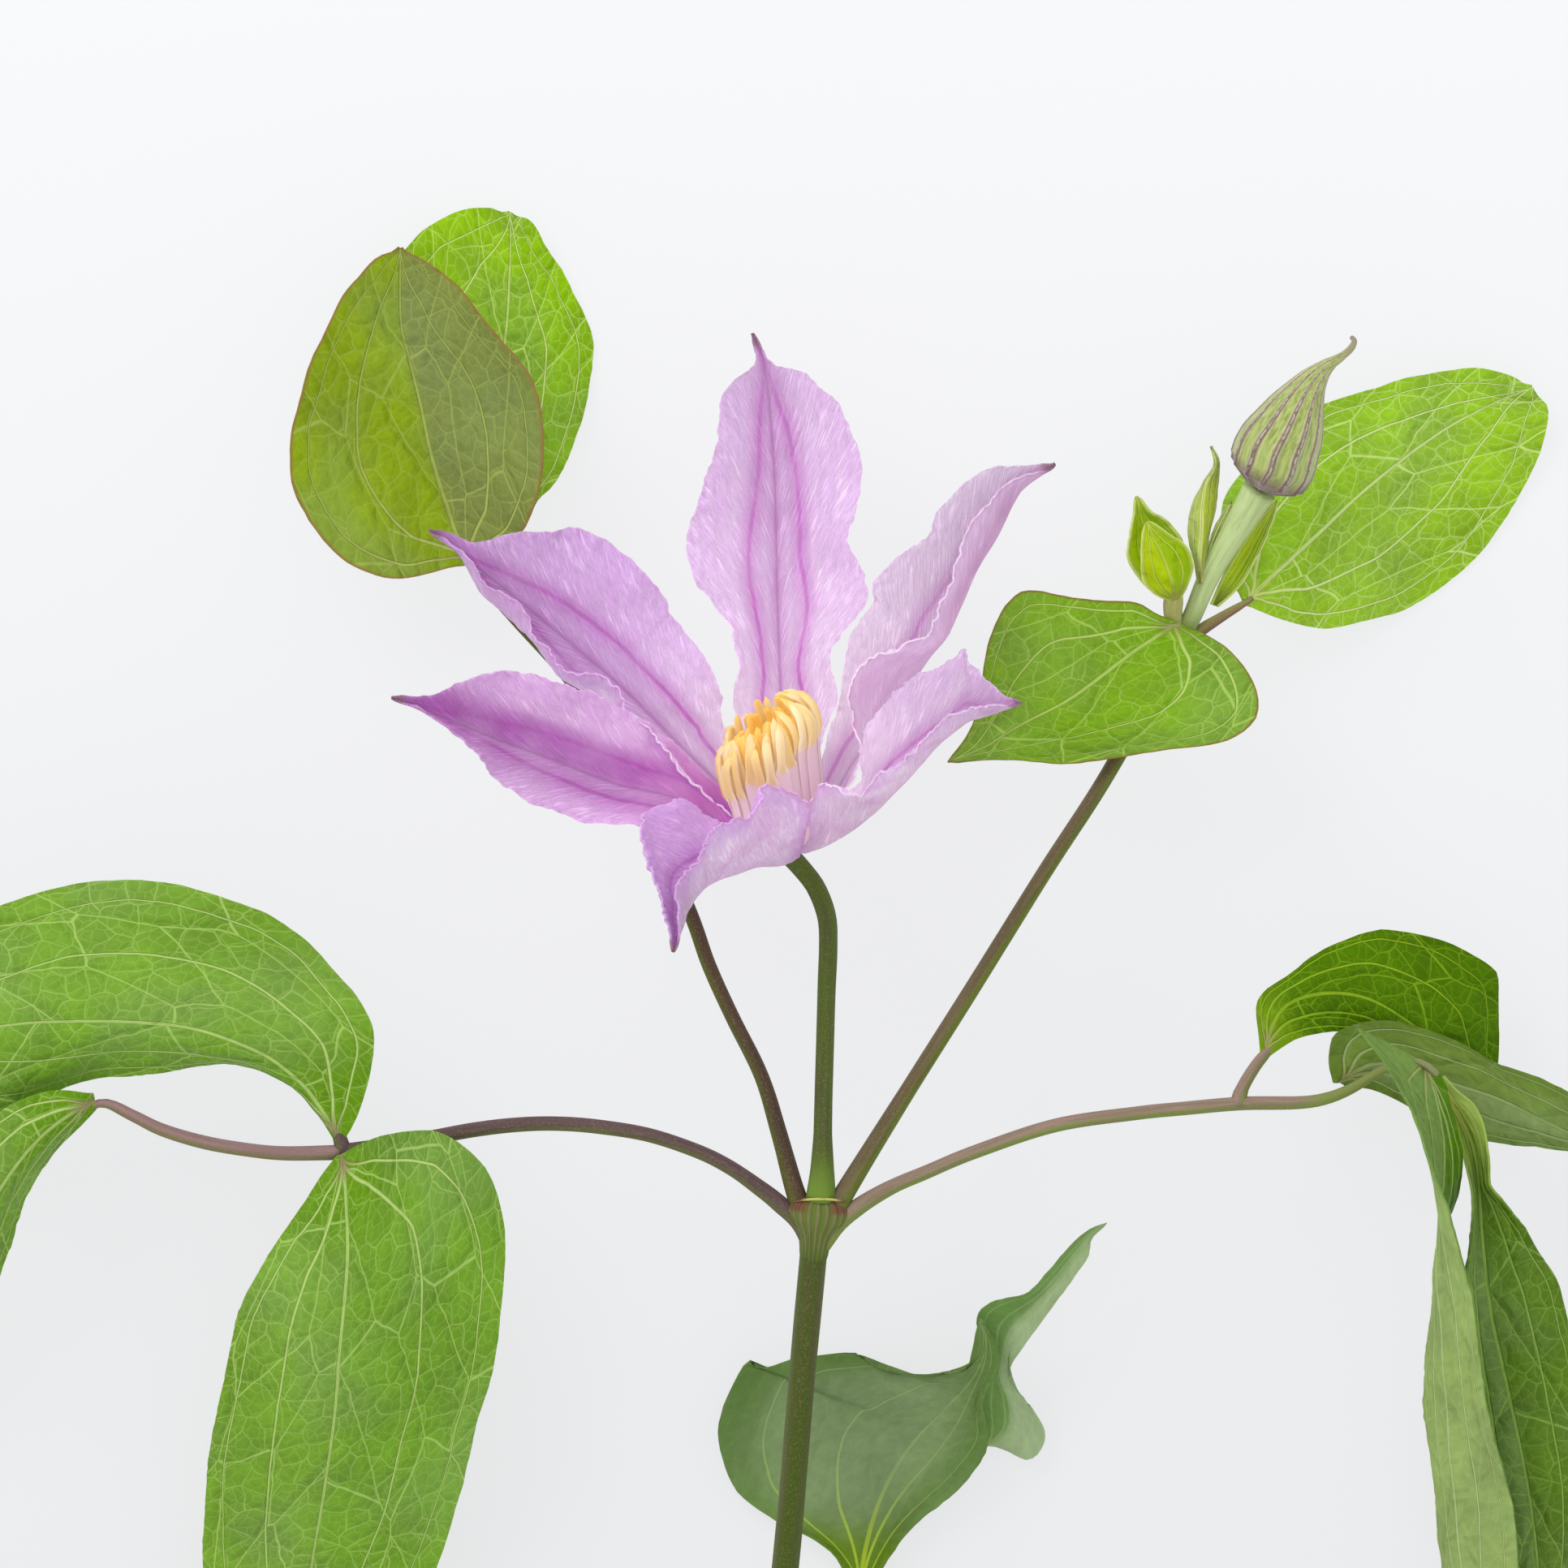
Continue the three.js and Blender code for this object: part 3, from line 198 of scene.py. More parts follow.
def lengths(points):
    """How far each point lies along the line from the first."""
    steps = np.linalg.norm(np.diff(points, axis=0), axis=-1)
    return np.concatenate([np.zeros((1, *steps.shape[1:])), np.cumsum(steps, axis=0)])


def evenly(points, count):
    """count + 1 points at equal steps of length along the curve through some points."""
    fine = through(points, np.linspace(0, 1, STEPS_PER_SPAN * (len(points) - 1) + 1))
    reach = lengths(fine)
    wanted = np.linspace(0, reach[-1], count + 1)
    return np.column_stack([np.interp(wanted, reach, fine[:, axis]) for axis in range(AXES)])


def steps_for(size, cell, group=6):
    """How many grid steps of about one cell fill a size, in whole groups of steps."""
    return group * max(1, round(size / cell / group))


# %% [markdown]
# ## Blades: the sheets that leaves and sepals are
#
# A leaf is a thin sheet hung on its midrib. Its surface runs smoothly through three or four rails:
# the left margin, the midrib or a fold, and the right margin. Two things keep it from looking cut
# with scissors: its margins wander in and out a little, and its tip is drawn to a point. Smooth
# noise gives the wander, because plain random numbers would make a sawtooth.

# %% Noise, normals and margins
LONG_WANDER, SHORT_WANDER = 2.6, 0.9
TIP_SHARE, TIP_WIDTH = 0.022, 0.18
LEAST_WIDTH = 0.05
HALVES_APART = 40


def lumps(x, y, size, seed):
    """Smooth noise from -1 to 1 at the places x, y, with lumps of about one size."""
    x, y = np.broadcast_arrays(x / size, y / size)
    values = [noise.noise((a, b, seed)) for a, b in zip(x.ravel(), y.ravel())]
    return np.array(values).reshape(x.shape)


def facing(grid):
    """Unit normals of a grid of points, out of its upper face."""
    normal = np.cross(np.gradient(grid, axis=1), np.gradient(grid, axis=0))
    return normal / np.maximum(np.linalg.norm(normal, axis=2, keepdims=True), 1e-9)


def crimped(grid, midrib, s, edge, wander, seed):
    """A grid whose margins wander in and out a little, and whose tip is drawn to a point."""
    spine = grid[:, [midrib]]
    out = grid - spine
    size = np.maximum(np.linalg.norm(out, axis=2), LEAST_WIDTH)
    side = np.sign(np.arange(grid.shape[1]) - midrib) * HALVES_APART + seed
    along = lengths(spine[:, 0])[:, None]
    stray = lumps(along, side, LONG_WANDER, seed)
    stray += 0.8 * lumps(along, side + 9, SHORT_WANDER, seed)
    scale = 1 + wander * edge**4 * stray * np.sin(math.pi * s) ** 0.5 / size
    scale *= np.clip((1 - s) / TIP_SHARE, TIP_WIDTH, 1)
    return spine + out * scale[..., None]


# %% [markdown]
# The wave of the margin, small puckers, the fanning creases of a sepal and the grooves of the main
# ribs are a relief on that surface. Each is a height in millimetres, added along the surface's own
# normal. Modelled relief, unlike a bump in a finish, still shows at the leaf's outline.

# %% The relief of a blade
FAN, FAN_START, FAN_SIDES_APART = 8.0, 1.0, 30
LONG_FRILL, SHORT_FRILL = 1.9, 0.9
LONG_PLEAT, SHORT_PLEAT, PLEAT_FROM = 1.5, 0.7, 3
PUCKER_SIZE = 7
GROOVE_WIDTH = 0.8


def relief(
    across, along, s, c, gaps, seed, *, ripple=0, waves=3, ruffle=0.15, pucker=0.3, crease=0, groove=0.22,
):
    """How far each point of a blade stands off its smooth surface, in millimetres."""
    edge = np.abs(2 * c - 1)
    taper = np.sin(math.pi * s)
    lift = ripple * edge**2 * taper * np.sin(2 * math.pi * (waves * s + c))
    frill = lumps(along, 5 * np.sign(across), LONG_FRILL, seed + 0.3)
    frill += lumps(along, across, SHORT_FRILL, seed)
    lift += ruffle * edge**5 * taper**0.5 * frill
    lift += pucker * lumps(across, along, PUCKER_SIZE, seed + 0.7) * taper
    if crease:
        width = np.abs(across)
        fan = along - FAN * np.sqrt(width + FAN_START) + np.sign(across) * FAN_SIDES_APART
        pleat = lumps(fan, 0.35 * width, LONG_PLEAT, seed)
        pleat += 0.5 * lumps(fan, 0.9 * width, SHORT_PLEAT, seed)
        lift += crease * pleat * np.clip(width / PLEAT_FROM, 0, 1) * taper**0.5
    lift -= groove * np.exp(-((across / GROOVE_WIDTH) ** 2))
    for gap in gaps:
        lift -= 0.5 * groove * np.exp(-((gap / GROOVE_WIDTH) ** 2)) * taper
    return lift


# %% [markdown]
# The ribs beside the midrib are given by a few pairs: a place along the blade, and the share of its
# half width that the rib has reached there. Each point of the blade keeps where it is, in
# millimetres from the midrib, the base, the margin and the side ribs. The finishes draw their veins
# with these numbers, so the veins follow every bend of the blade.

# %% The surface of a blade
SPINE_STEPS, GIRTH_STEPS = 60, 12
LEAF_RIBS = (
    ((0, 0), (0.08, 0.3), (0.18, 0.46), (0.4, 0.5), (0.62, 0.46), (0.82, 0.32), (1, 0.05)),
    ((0, 0), (0.06, 0.55), (0.14, 0.78), (0.3, 0.86), (0.55, 0.86), (0.8, 0.76), (1, 0.4)),
)


def rib_gap(rib, s, half, across, length):
    """The distance from a side rib, which is given as (place along, share of the half width)."""
    at, share = zip(*rib)
    run = np.interp(s[:, 0], at, share)[:, None] * half
    slope = np.gradient(run, axis=0) * (len(s) - 1) / length
    return (across - run) / np.sqrt(1 + slope**2)


def blade_surface(
    rails, *, seed, cell=0.7, midrib=0.5, wander=0.12, ribs=LEAF_RIBS, **heights,
):
    """The middle surface of a blade, its normals, and what each of its points knows."""
    length = lengths(evenly(rails[round(midrib * (len(rails) - 1))], SPINE_STEPS))[-1]
    girth = max(lengths(np.stack([evenly(rail, GIRTH_STEPS) for rail in rails]))[-1])
    rows, columns = steps_for(length, cell), steps_for(girth, cell)
    middle = round(midrib * columns)
    s, c = np.meshgrid(np.linspace(0, 1, rows + 1), np.linspace(0, 1, columns + 1), indexing="ij")
    sides = np.stack([evenly(rail, rows) for rail in rails])
    grid = through(sides, c[0]).swapaxes(0, 1)
    grid = crimped(grid, middle, s, np.abs(2 * c - 1), wander, seed)
    reach = lengths(grid.swapaxes(0, 1)).swapaxes(0, 1)
    across = reach - reach[:, [middle]]
    along = s * length
    margin = np.minimum(reach, reach[:, -1:] - reach)
    half = np.maximum(np.where(across < 0, -across[:, :1], across[:, -1:]), LEAST_WIDTH)
    gaps = [rib_gap(rib, s, half, np.abs(across), length) for rib in ribs]
    lift = relief(across, along, s, c, gaps, seed, **heights)
    grid = grid + facing(grid) * lift[..., None]
    knows = {
        "blade": np.stack([across, along, margin], axis=-1),
        "ribs": np.stack([*gaps, s], axis=-1),
    }
    return grid, facing(grid), knows


# %% [markdown]
# The mesh itself starts as a flat bmesh grid, extruded into a slab, whose points are then moved
# onto the surface and half the leaf's thickness to either side. Moving a ready slab keeps the upper
# face, the underside and the rim apart, so each face gets its own finish and the rim stays sharp. A
# Solidify modifier could do this too, but the slab needs no modifier to be applied.

# %% Blade helper
BOTH_UP_OR_DOWN = 1.5


def slab(rows, columns):
    """A thin slab of a bmesh grid, with the underside's faces given the second material."""
    bm = bmesh.new()
    bmesh.ops.create_grid(bm, x_segments=columns, y_segments=rows, size=0.5)
    under = list(bm.faces)
    raised = bmesh.ops.extrude_face_region(bm, geom=bm.faces[:], use_keep_orig=True)["geom"]
    upper = [item for item in raised if isinstance(item, bmesh.types.BMVert)]
    bmesh.ops.translate(bm, verts=upper, vec=(0, 0, 1))
    bmesh.ops.recalc_face_normals(bm, faces=bm.faces[:])
    for face in under:
        face.material_index = 1
    for face in bm.faces:
        face.smooth = True
    for edge in bm.edges:
        edge.smooth = abs(sum(face.normal.z for face in edge.link_faces)) > BOTH_UP_OR_DOWN
    return bm


def finish_piece(name, bm, materials, node):
    """A bmesh as an object that rides on the root and stands for its CAD node."""
    mesh = bpy.data.meshes.new(name)
    bm.to_mesh(mesh)
    bm.free()
    for material in materials:
        mesh.materials.append(material)
    piece = bpy.data.objects.new(name, mesh)
    bpy.context.scene.collection.objects.link(piece)
    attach(piece, "root")
    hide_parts(node)
    print(f"{name}: {len(mesh.polygons)} faces")


def blade(name, materials, rails, *, slot="leaf", thick=0.3, node=None, **shape):
    """A leaf or a sepal, from its rails in millimetres, standing for the CAD node of its name."""
    grid, normal, knows = blade_surface(rails, **shape)
    rows, columns = grid.shape[0] - 1, grid.shape[1] - 1
    bm = slab(rows, columns)
    layers = {key: bm.verts.layers.float_vector.new(key) for key in knows}
    for vert in bm.verts:
        row, column = round((vert.co.y + 0.5) * rows), round((vert.co.x + 0.5) * columns)
        side = (vert.co.z - 0.5) * thick
        vert.co = in_frame(grid[row, column] + side * normal[row, column])
        for key, layer in layers.items():
            vert[layer] = knows[key][row, column]
    finish_piece(name, bm, materials, node or name)


# %% [markdown]
# ## Stalks: sheets rolled into tubes
#
# A stalk is the same flat grid, rolled up round a smooth route and closed along its seam. A curve
# object with a bevel would be quicker, but rolling lets the cross-section be ribbed, flattened or
# swollen anywhere. Each point keeps its place in the straightened stalk, so that streaks follow it
# round every bend.

# %% Stalk helper
STALK_SIDES, STALK_STEP = 20, 0.9
ROUTE_STEPS = 40
SAME_PLACE = 1e-7


def point_layer(bm, name):
    """The layer of a bmesh that keeps three numbers for each point under a name."""
    layers = bm.verts.layers.float_vector
    return layers.get(name) or layers.new(name)


def roll(bm, route, girth, sides, steps, section=None, up=(0, 0, 1)):
    """Adds a closed tube along a route to a bmesh. A section gives (across, up) from turn and s."""
    grain, place = point_layer(bm, "grain"), point_layer(bm, "stalk")
    path = evenly(route, steps)
    reach = lengths(path)
    forward = np.gradient(path, axis=0)
    forward /= np.linalg.norm(forward, axis=1, keepdims=True)
    sideways = np.cross(forward, up)
    sideways /= np.linalg.norm(sideways, axis=1, keepdims=True)
    lift = np.cross(sideways, forward)
    widths = np.interp(np.linspace(0, 1, steps + 1), np.linspace(0, 1, len(girth)), girth)
    verts = bmesh.ops.create_grid(bm, x_segments=sides, y_segments=steps, size=0.5)["verts"]
    for vert in verts:
        row = round((vert.co.y + 0.5) * steps)
        turn = 2 * math.pi * round((vert.co.x + 0.5) * sides) / sides
        s = row / steps
        wide, high = section(turn, s) if section else (math.cos(turn), math.sin(turn))
        wide, high = wide * widths[row], high * widths[row]
        vert.co = in_frame(path[row] + wide * sideways[row] + high * lift[row])
        vert[grain] = (wide, high, reach[row])
        vert[place] = (s, math.cos(turn), math.sin(turn))
    bmesh.ops.remove_doubles(bm, verts=verts, dist=SAME_PLACE)
    live = [vert for vert in verts if vert.is_valid]
    rims = {edge for vert in live for edge in vert.link_edges if edge.is_boundary}
    bmesh.ops.holes_fill(bm, edges=list(rims), sides=sides)
    faces = {face for vert in live for face in vert.link_faces}
    bmesh.ops.recalc_face_normals(bm, faces=list(faces))
    for face in faces:
        face.smooth = True
    return live, faces


def ribbed(count, depth):
    """The section of a round stalk with shallow ribs along it."""
    def section(turn, s):
        crest = 1 + depth * math.cos(count * turn)
        return math.cos(turn) * crest, math.sin(turn) * crest
    return section


def stalks(name, node, material, parts, section=None, sides=STALK_SIDES, steps=None):
    """One piece of one or more tubes, each given by its route and girth in millimetres."""
    bm = bmesh.new()
    for route, girth in parts:
        length = lengths(evenly(route, ROUTE_STEPS))[-1]
        roll(bm, route, girth, sides, steps or steps_for(length, STALK_STEP), section)
    finish_piece(name, bm, [material], node)


# %% [markdown]
# ## Writing finishes down
#
# A finish is a small network of shader nodes. Written out one by one the nodes hide the idea, so
# two little classes add them. A Value is what a node hands on, and sums with it are written as
# plain sums. A Finish starts from one colour, and other colours are painted over it, each with a
# mask that says where. Every colour is given as the eye reads it on a screen, from 0 to 255, and
# turned into the linear light that shaders work in.

# %% Finish helper


def tint(red, green, blue):
    """A screen colour as the linear colour that shaders use."""
    parts = [value / 255 for value in (red, green, blue)]
    return (*(p / 12.92 if p <= 0.04045 else ((p + 0.055) / 1.055) ** 2.4 for p in parts), 1)


class Value:
    """What a node hands on. A sum with it adds a node that works it out."""

    def __init__(self, finish, socket):
        self.finish, self.socket = finish, socket

    def __add__(self, other):
        return self.finish.maths("ADD", self, other)

    def __sub__(self, other):
        return self.finish.maths("SUBTRACT", self, other)

    def __mul__(self, other):
        return self.finish.maths("MULTIPLY", self, other)

    def __truediv__(self, other):
        return self.finish.maths("DIVIDE", self, other)

    def __or__(self, other):
        """The larger of two, which joins two masks."""
        return self.finish.maths("MAXIMUM", self, other)

    def __abs__(self):
        return self.finish.maths("ABSOLUTE", self)


class Finish:
    """A material being built: a first colour, the colours painted over it, and a surface."""

    def __init__(self, name, colour):
        self.material = bpy.data.materials.new(name)
        self.material.use_nodes = True
        self.tree = self.material.node_tree
        self.tree.nodes.clear()
        self.colour = colour

    def node(self, kind, feeds, **settings):
        """Adds a node. Its feeds are Values, numbers, or screen colours as three numbers."""
        node = self.tree.nodes.new("ShaderNode" + kind)
        for key, value in settings.items():
            setattr(node, key, value)
        for key, value in feeds.items():
            if isinstance(value, Value):
                self.tree.links.new(value.socket, node.inputs[key])
            else:
                node.inputs[key].default_value = tint(*value) if isinstance(value, tuple) else value
        return node

    def add(self, kind, feeds, out=0, **settings):
        return Value(self, self.node(kind, feeds, **settings).outputs[out])

    def maths(self, operation, *values):
        return self.add("Math", dict(enumerate(values)), operation=operation)

    def ramp(self, value, start, end, low=0, high=1):
        """A smooth step from low to high as a value goes from start to end."""
        feeds = {0: value, 1: start, 2: end, 3: low, 4: high}
        return self.add("MapRange", feeds, interpolation_type="SMOOTHSTEP")

    def line(self, gap, width):
        """1 on a line and 0 away from it, from the distance to it and its half width."""
        return self.ramp(abs(gap) / width, 0.5, 1.6, 1, 0)

    def known(self, attribute):
        """The three numbers that each point keeps under one name."""
        kept = self.add("Attribute", {}, "Vector", attribute_name=attribute)
        return [Value(self, socket) for socket in self.node("SeparateXYZ", {0: kept}).outputs]

    def vector(self, x, y, z=0):
        return self.add("CombineXYZ", {0: x, 1: y, 2: z})

    def noise(self, place, scale, detail=3, rough=0.5):
        feeds = {"Vector": place, "Scale": scale, "Detail": detail, "Roughness": rough}
        return self.add("TexNoise", feeds, "Fac")

    def cell_edge(self, place, size):
        """The distance in cells from the edges of flat cells of about one size."""
        feeds = {"Vector": place, "Scale": 1 / size}
        return self.add(
            "TexVoronoi", feeds, "Distance", feature="DISTANCE_TO_EDGE", voronoi_dimensions="2D")

    def mix(self, share, first, second, blend="MIX"):
        feeds = {0: share, 6: first, 7: second}
        return self.add("Mix", feeds, 2, data_type="RGBA", blend_type=blend)

    def paint(self, mask, colour, blend="MIX"):
        """Paints a colour over what is there, as thickly as a mask says."""
        self.colour = self.mix(mask, self.colour, colour, blend)

    def close(
        self, roughness, height=None, *, through=None, specular=0.25, sheen=0, inner=0,
    ):
        """Joins it all. Height is in millimetres. Through is the share of light that comes
        through, the share of it that is tinted on its way, and that tint. Inner is the strength of a
        painted glow in the surface's own colour, which lifts parts that lie in shade."""
        bump = {}
        if height:
            bump["Normal"] = self.add("Bump", {"Height": height, "Distance": MM})
        surface = self.add("BsdfPrincipled", bump | {
            "Base Color": self.colour, "Roughness": roughness, "Specular IOR Level": specular,
            "Sheen Weight": sheen, "Emission Color": self.colour, "Emission Strength": inner})
        if through:
            share, tinted, light = through
            passing = bump | {"Color": self.mix(tinted, self.colour, light)}
            passing = self.add("BsdfTranslucent", passing)
            surface = self.add("MixShader", {0: share, 1: surface, 2: passing})
        self.node("OutputMaterial", {"Surface": surface})
        return self.material


# %% [markdown]
# ## Leaf finishes
#
# A clematis leaf has one midrib and two pairs of ribs that leave the base with it and arch to the
# tip. Branches loop slanting up from each to the next, a net of thin veins fills what is between,
# and inside that is a finer one. The ribs are drawn by their distance, which the blade's points
# keep. The branches are the edges of long Voronoi cells, sheared so that they slant up from the
# midrib on both sides. The nets are the edges of small cells in two sizes.

# %% Vein nets
BRANCH_CELL, BRANCH_STRETCH, BRANCH_SLANT = 15, 1.8, 1.1
NET_CELL, FINE_CELL = 3.2, 1.3
STRAY, BRANCH_STRAY = 1.6, 0.7


def vein_nets(f, u, v):
    """The distance from a branch in mm, and from the two nets in cells."""
    stray = (f.noise(f.vector(u, v), 0.3, 1) - 0.5) * STRAY
    other_half = f.ramp(u, -0.02, 0.02, 0, HALVES_APART)
    across = u * BRANCH_STRETCH + stray * BRANCH_STRAY + other_half
    run = v + abs(u) * -BRANCH_SLANT + stray * BRANCH_STRAY
    branch = f.cell_edge(f.vector(across, run), BRANCH_CELL) * (0.7 * BRANCH_CELL)
    flat = f.vector(u + stray, v + stray)
    return branch, f.cell_edge(flat, NET_CELL), f.cell_edge(flat, FINE_CELL)


def rib_lines(f, u, s, inner, outer):
    """A mask of the midrib and the two pairs of ribs beside it, which thin out to the tip."""
    width = s * -0.16 + 0.27
    return f.line(u, width) | f.line(inner, width * 0.72) | f.line(outer, width * 0.5)


def vein_lines(f, flat, branch, fork, fine, depth):
    """A mask of the branches and the two nets, which come and go a little."""
    nets = f.ramp(fine, 0.02, 0.08, 0.4 * depth, 0) | f.ramp(fork, 0.01, 0.036, 0.8 * depth, 0)
    nets = nets * f.ramp(f.noise(flat, 0.18, 1), 0.36, 0.64, 0.75, 1.05)
    return nets | f.ramp(branch, 0.05, 0.15, 1.2 * depth, 0)


# %% [markdown]
# All the veins are paler than the green and lie in grooves, with the blade puffed up between them.
# The green is painted with slow patches of shade and small flecks of light and shade, and a grey
# sheen lies on some patches: painted light for the soft shading and highlights of the puffed blade.
# The underside is greyer and duller, and its veins stand out, so its relief is the upper one turned over.

# %% Leaf finish
LEAF_FOOT = ((166, 160, 104), 5)
LEAF_LIGHT = (175, 215, 60)
PAINTED_SHEEN_GREY = (152, 178, 120)
LIGHT_TINTED = 0.5
UNDERSIDE_DULLER = 0.2


def leaf_finish(
    name, left, right, vein, under, *, under_vein=None, gloss=0.42, glow=0.3, net=0.5, under_net=0.25,
    rim=None, specular=0.1, quilt=1, foot=LEAF_FOOT, base_tone=None, edge_tone=None,
    light=LEAF_LIGHT, ribs=0.9, painted_sheen=0.22,
):
    """The two materials of a leaf. foot, base_tone and edge_tone are a colour and its reach in mm."""
    materials = []
    for side, left_tone, right_tone, pale, depth, up, duller in (
        ("upper", left, right, vein, net, 1, 0),
        ("under", under, under, under_vein or vein, under_net, -1, UNDERSIDE_DULLER),
    ):
        f = Finish(f"{name}_{side}", left_tone)
        u, v, margin = f.known("blade")
        inner, outer, s = f.known("ribs")
        flat = f.vector(u, v)
        f.paint(f.ramp(u, -1, 1), right_tone)
        if edge_tone:
            colour, reach = edge_tone
            f.paint(f.ramp(margin, 0.1 * reach, reach, 0.85, 0), colour)
        if base_tone:
            colour, reach = base_tone
            f.paint(f.ramp(v, 0.4 * reach, reach, 0.9, 0), colour)
        # A painted grey sheen in slow patches stands in for soft highlights on the blade.
        f.paint(f.ramp(f.noise(flat, 0.055, 2), 0.42, 0.62, 0, painted_sheen), PAINTED_SHEEN_GREY)
        # Slow dark patches and small light and dark flecks are painted shading of the puffed blade.
        slow_painted_shade = f.ramp(f.noise(flat, 0.11), 0.3, 0.7, 1, 0.76)
        small_painted_shading = f.ramp(f.noise(flat, 0.8, 2), 0.3, 0.7, 0.94, 1.05)
        f.paint(1, slow_painted_shade * small_painted_shading, "MULTIPLY")
        branch, fork, fine = vein_nets(f, u, v)
        rib = rib_lines(f, u, s, inner, outer)
        f.paint(vein_lines(f, flat, branch, fork, fine, depth) | rib * ribs, pale)
        foot_colour, reach = foot
        f.paint(rib * f.ramp(v, 0.2 * reach, reach, 0.85, 0), foot_colour)
        if rim:
            f.paint(f.ramp(margin, 0.1, 0.5, 0.8, 0), rim)
        puff = f.ramp(branch, 0, 1.6, 0, 0.24 * quilt) + f.ramp(fork, 0, 0.35, 0, 0.16 * quilt)
        puff = puff + f.ramp(fine, 0, 0.35, 0, 0.03) - rib * (0.16 * quilt)
        height = (puff + f.noise(flat, 3.5) * 0.025) * up
        rough = f.ramp(
            f.noise(flat, 1.2, 2), 0.2, 0.8, gloss - 0.06 + duller, gloss + 0.08 + duller)
        materials.append(f.close(rough, height, through=(glow, LIGHT_TINTED, light), specular=specular))
    return materials


# %% [markdown]
# The leaves of one shoot differ in green: the upper pair is young and bright, the lower leaves are
# deep or greyed, and the ones in shade are dull. Each finish gives the left half, the right half,
# the veins and the underside.

# %% The greens of this shoot
BRIGHT_FOOT = ((206, 216, 120), 8)

leaf_mid = leaf_finish(
    "leaf_mid", (117, 162, 44), (121, 164, 48), (184, 210, 120), (154, 178, 116),
    foot=((146, 120, 96), 5), base_tone=((104, 150, 8), 15))
leaf_dark = leaf_finish(
    "leaf_dark", (86, 128, 0), (82, 122, 0), (150, 186, 40), (118, 150, 88), gloss=0.34,
    specular=0.05, light=(110, 160, 0), base_tone=((122, 156, 20), 9), painted_sheen=0)
leaf_grey = leaf_finish(
    "leaf_grey", (114, 138, 56), (134, 152, 92), (156, 174, 112), (140, 160, 120), net=0.16,
    edge_tone=((100, 126, 40), 3))
# Its two halves differ by painted light: the left one is painted in shade and the right one with a grey
# glare.
leaf_twisted = leaf_finish(
    "leaf_twisted", (78, 122, 0), (118, 148, 72), (156, 178, 104), (158, 182, 104),
    under_vein=(190, 208, 140), under_net=0.14, net=0.2)
leaf_behind = leaf_finish(
    "leaf_behind", (98, 132, 34), (114, 142, 72), (150, 182, 84), (120, 150, 90), net=0.6,
    base_tone=((172, 192, 96), 21), foot=((190, 196, 100), 16))
leaf_rear_finish = leaf_finish(
    "leaf_rear", (128, 148, 104), (134, 154, 106), (158, 178, 116), (146, 166, 122), gloss=0.5,
    net=0.08, ribs=0.5, edge_tone=((92, 124, 54), 9), base_tone=((108, 138, 26), 13),
    foot=((178, 200, 32), 18), glow=0.25, quilt=0.3)
# The lobe's left half, by the fold, is painted darker as painted shade, and its right half is painted
# paler.
leaf_rear_pale = leaf_finish(
    "leaf_rear_pale", (112, 146, 80), (174, 192, 150), (176, 194, 138), (150, 170, 126), gloss=0.5,
    net=0.05, ribs=0.3, foot=((150, 170, 110), 4), glow=0.35, quilt=0.1)
# Its right half is painted greyer as a soft painted sheen, where that half meets the light.
leaf_olive = leaf_finish(
    "leaf_olive", (140, 165, 14), (130, 140, 70), (172, 182, 96), (150, 170, 100), rim=(150, 110, 60))
leaf_bright = leaf_finish(
    "leaf_bright", (158, 204, 40), (158, 202, 36), (222, 240, 158), (160, 190, 100), net=0.55,
    foot=BRIGHT_FOOT)
leaf_vivid = leaf_finish(
    "leaf_vivid", (152, 200, 8), (146, 196, 0), (216, 238, 136), (154, 184, 90), net=0.55,
    foot=BRIGHT_FOOT)
leaf_fresh = leaf_finish(
    "leaf_fresh", (128, 174, 24), (130, 176, 26), (190, 216, 112), (144, 174, 96), rim=(140, 100, 50))

# %% [markdown]
# ## Leaves
#
# Each leaf below is placed by its margins and midrib alone, and the blade helper does the rest.
# First the left divided leaf, whose three leaflets hang from a long stalk: the upper one
# arches back, the middle one hangs straight down and the end one folds over the stalk's tip.

# %% Left divided leaf
blade("leaflet_left_upper", leaf_mid, [
    [(-59.7, 7.2, 25.4), (-60.7, 9.2, 25), (-62.1, 11.3, 24.7), (-64.8, 14.1, 24.4), (-70, 16.1, 24.6),
     (-77, 16.5, 24.2), (-87, 15.5, 23.6), (-95, 13, 23), (-101, 11.2, 22.4), (-108, 11.3, 22),
     (-114, 14, 21.6), (-118, 18.2, 21)],
    [(-59.3, 7.2, 25.8), (-60.3, 9.4, 26.2), (-61.7, 11.8, 26.8), (-64.3, 15, 27.8), (-69, 18.4, 29.2),
     (-77, 21.3, 30.2), (-86, 22.2, 30), (-96, 22.1, 28.6), (-101, 21.6, 27.4), (-110, 20.6, 24.6),
     (-118, 18.9, 21.4)],
    [(-58.9, 7.2, 25.6), (-57.7, 9, 25.6), (-56.6, 11.6, 25.8), (-55.5, 15.5, 26.3), (-54.9, 20.5, 27),
     (-56.5, 24.5, 27.6), (-59.5, 28.2, 28), (-63, 32, 28.2), (-67, 34.8, 28.2), (-71, 36.5, 28),
     (-77, 38.4, 27.6), (-83, 39.6, 27), (-91, 39.3, 26.2), (-98, 37.3, 25.2), (-104, 34.8, 24.2),
     (-110, 30.5, 23), (-115.5, 24.5, 22), (-118.2, 19.6, 21.2)],
], ripple=0.7, seed=2)
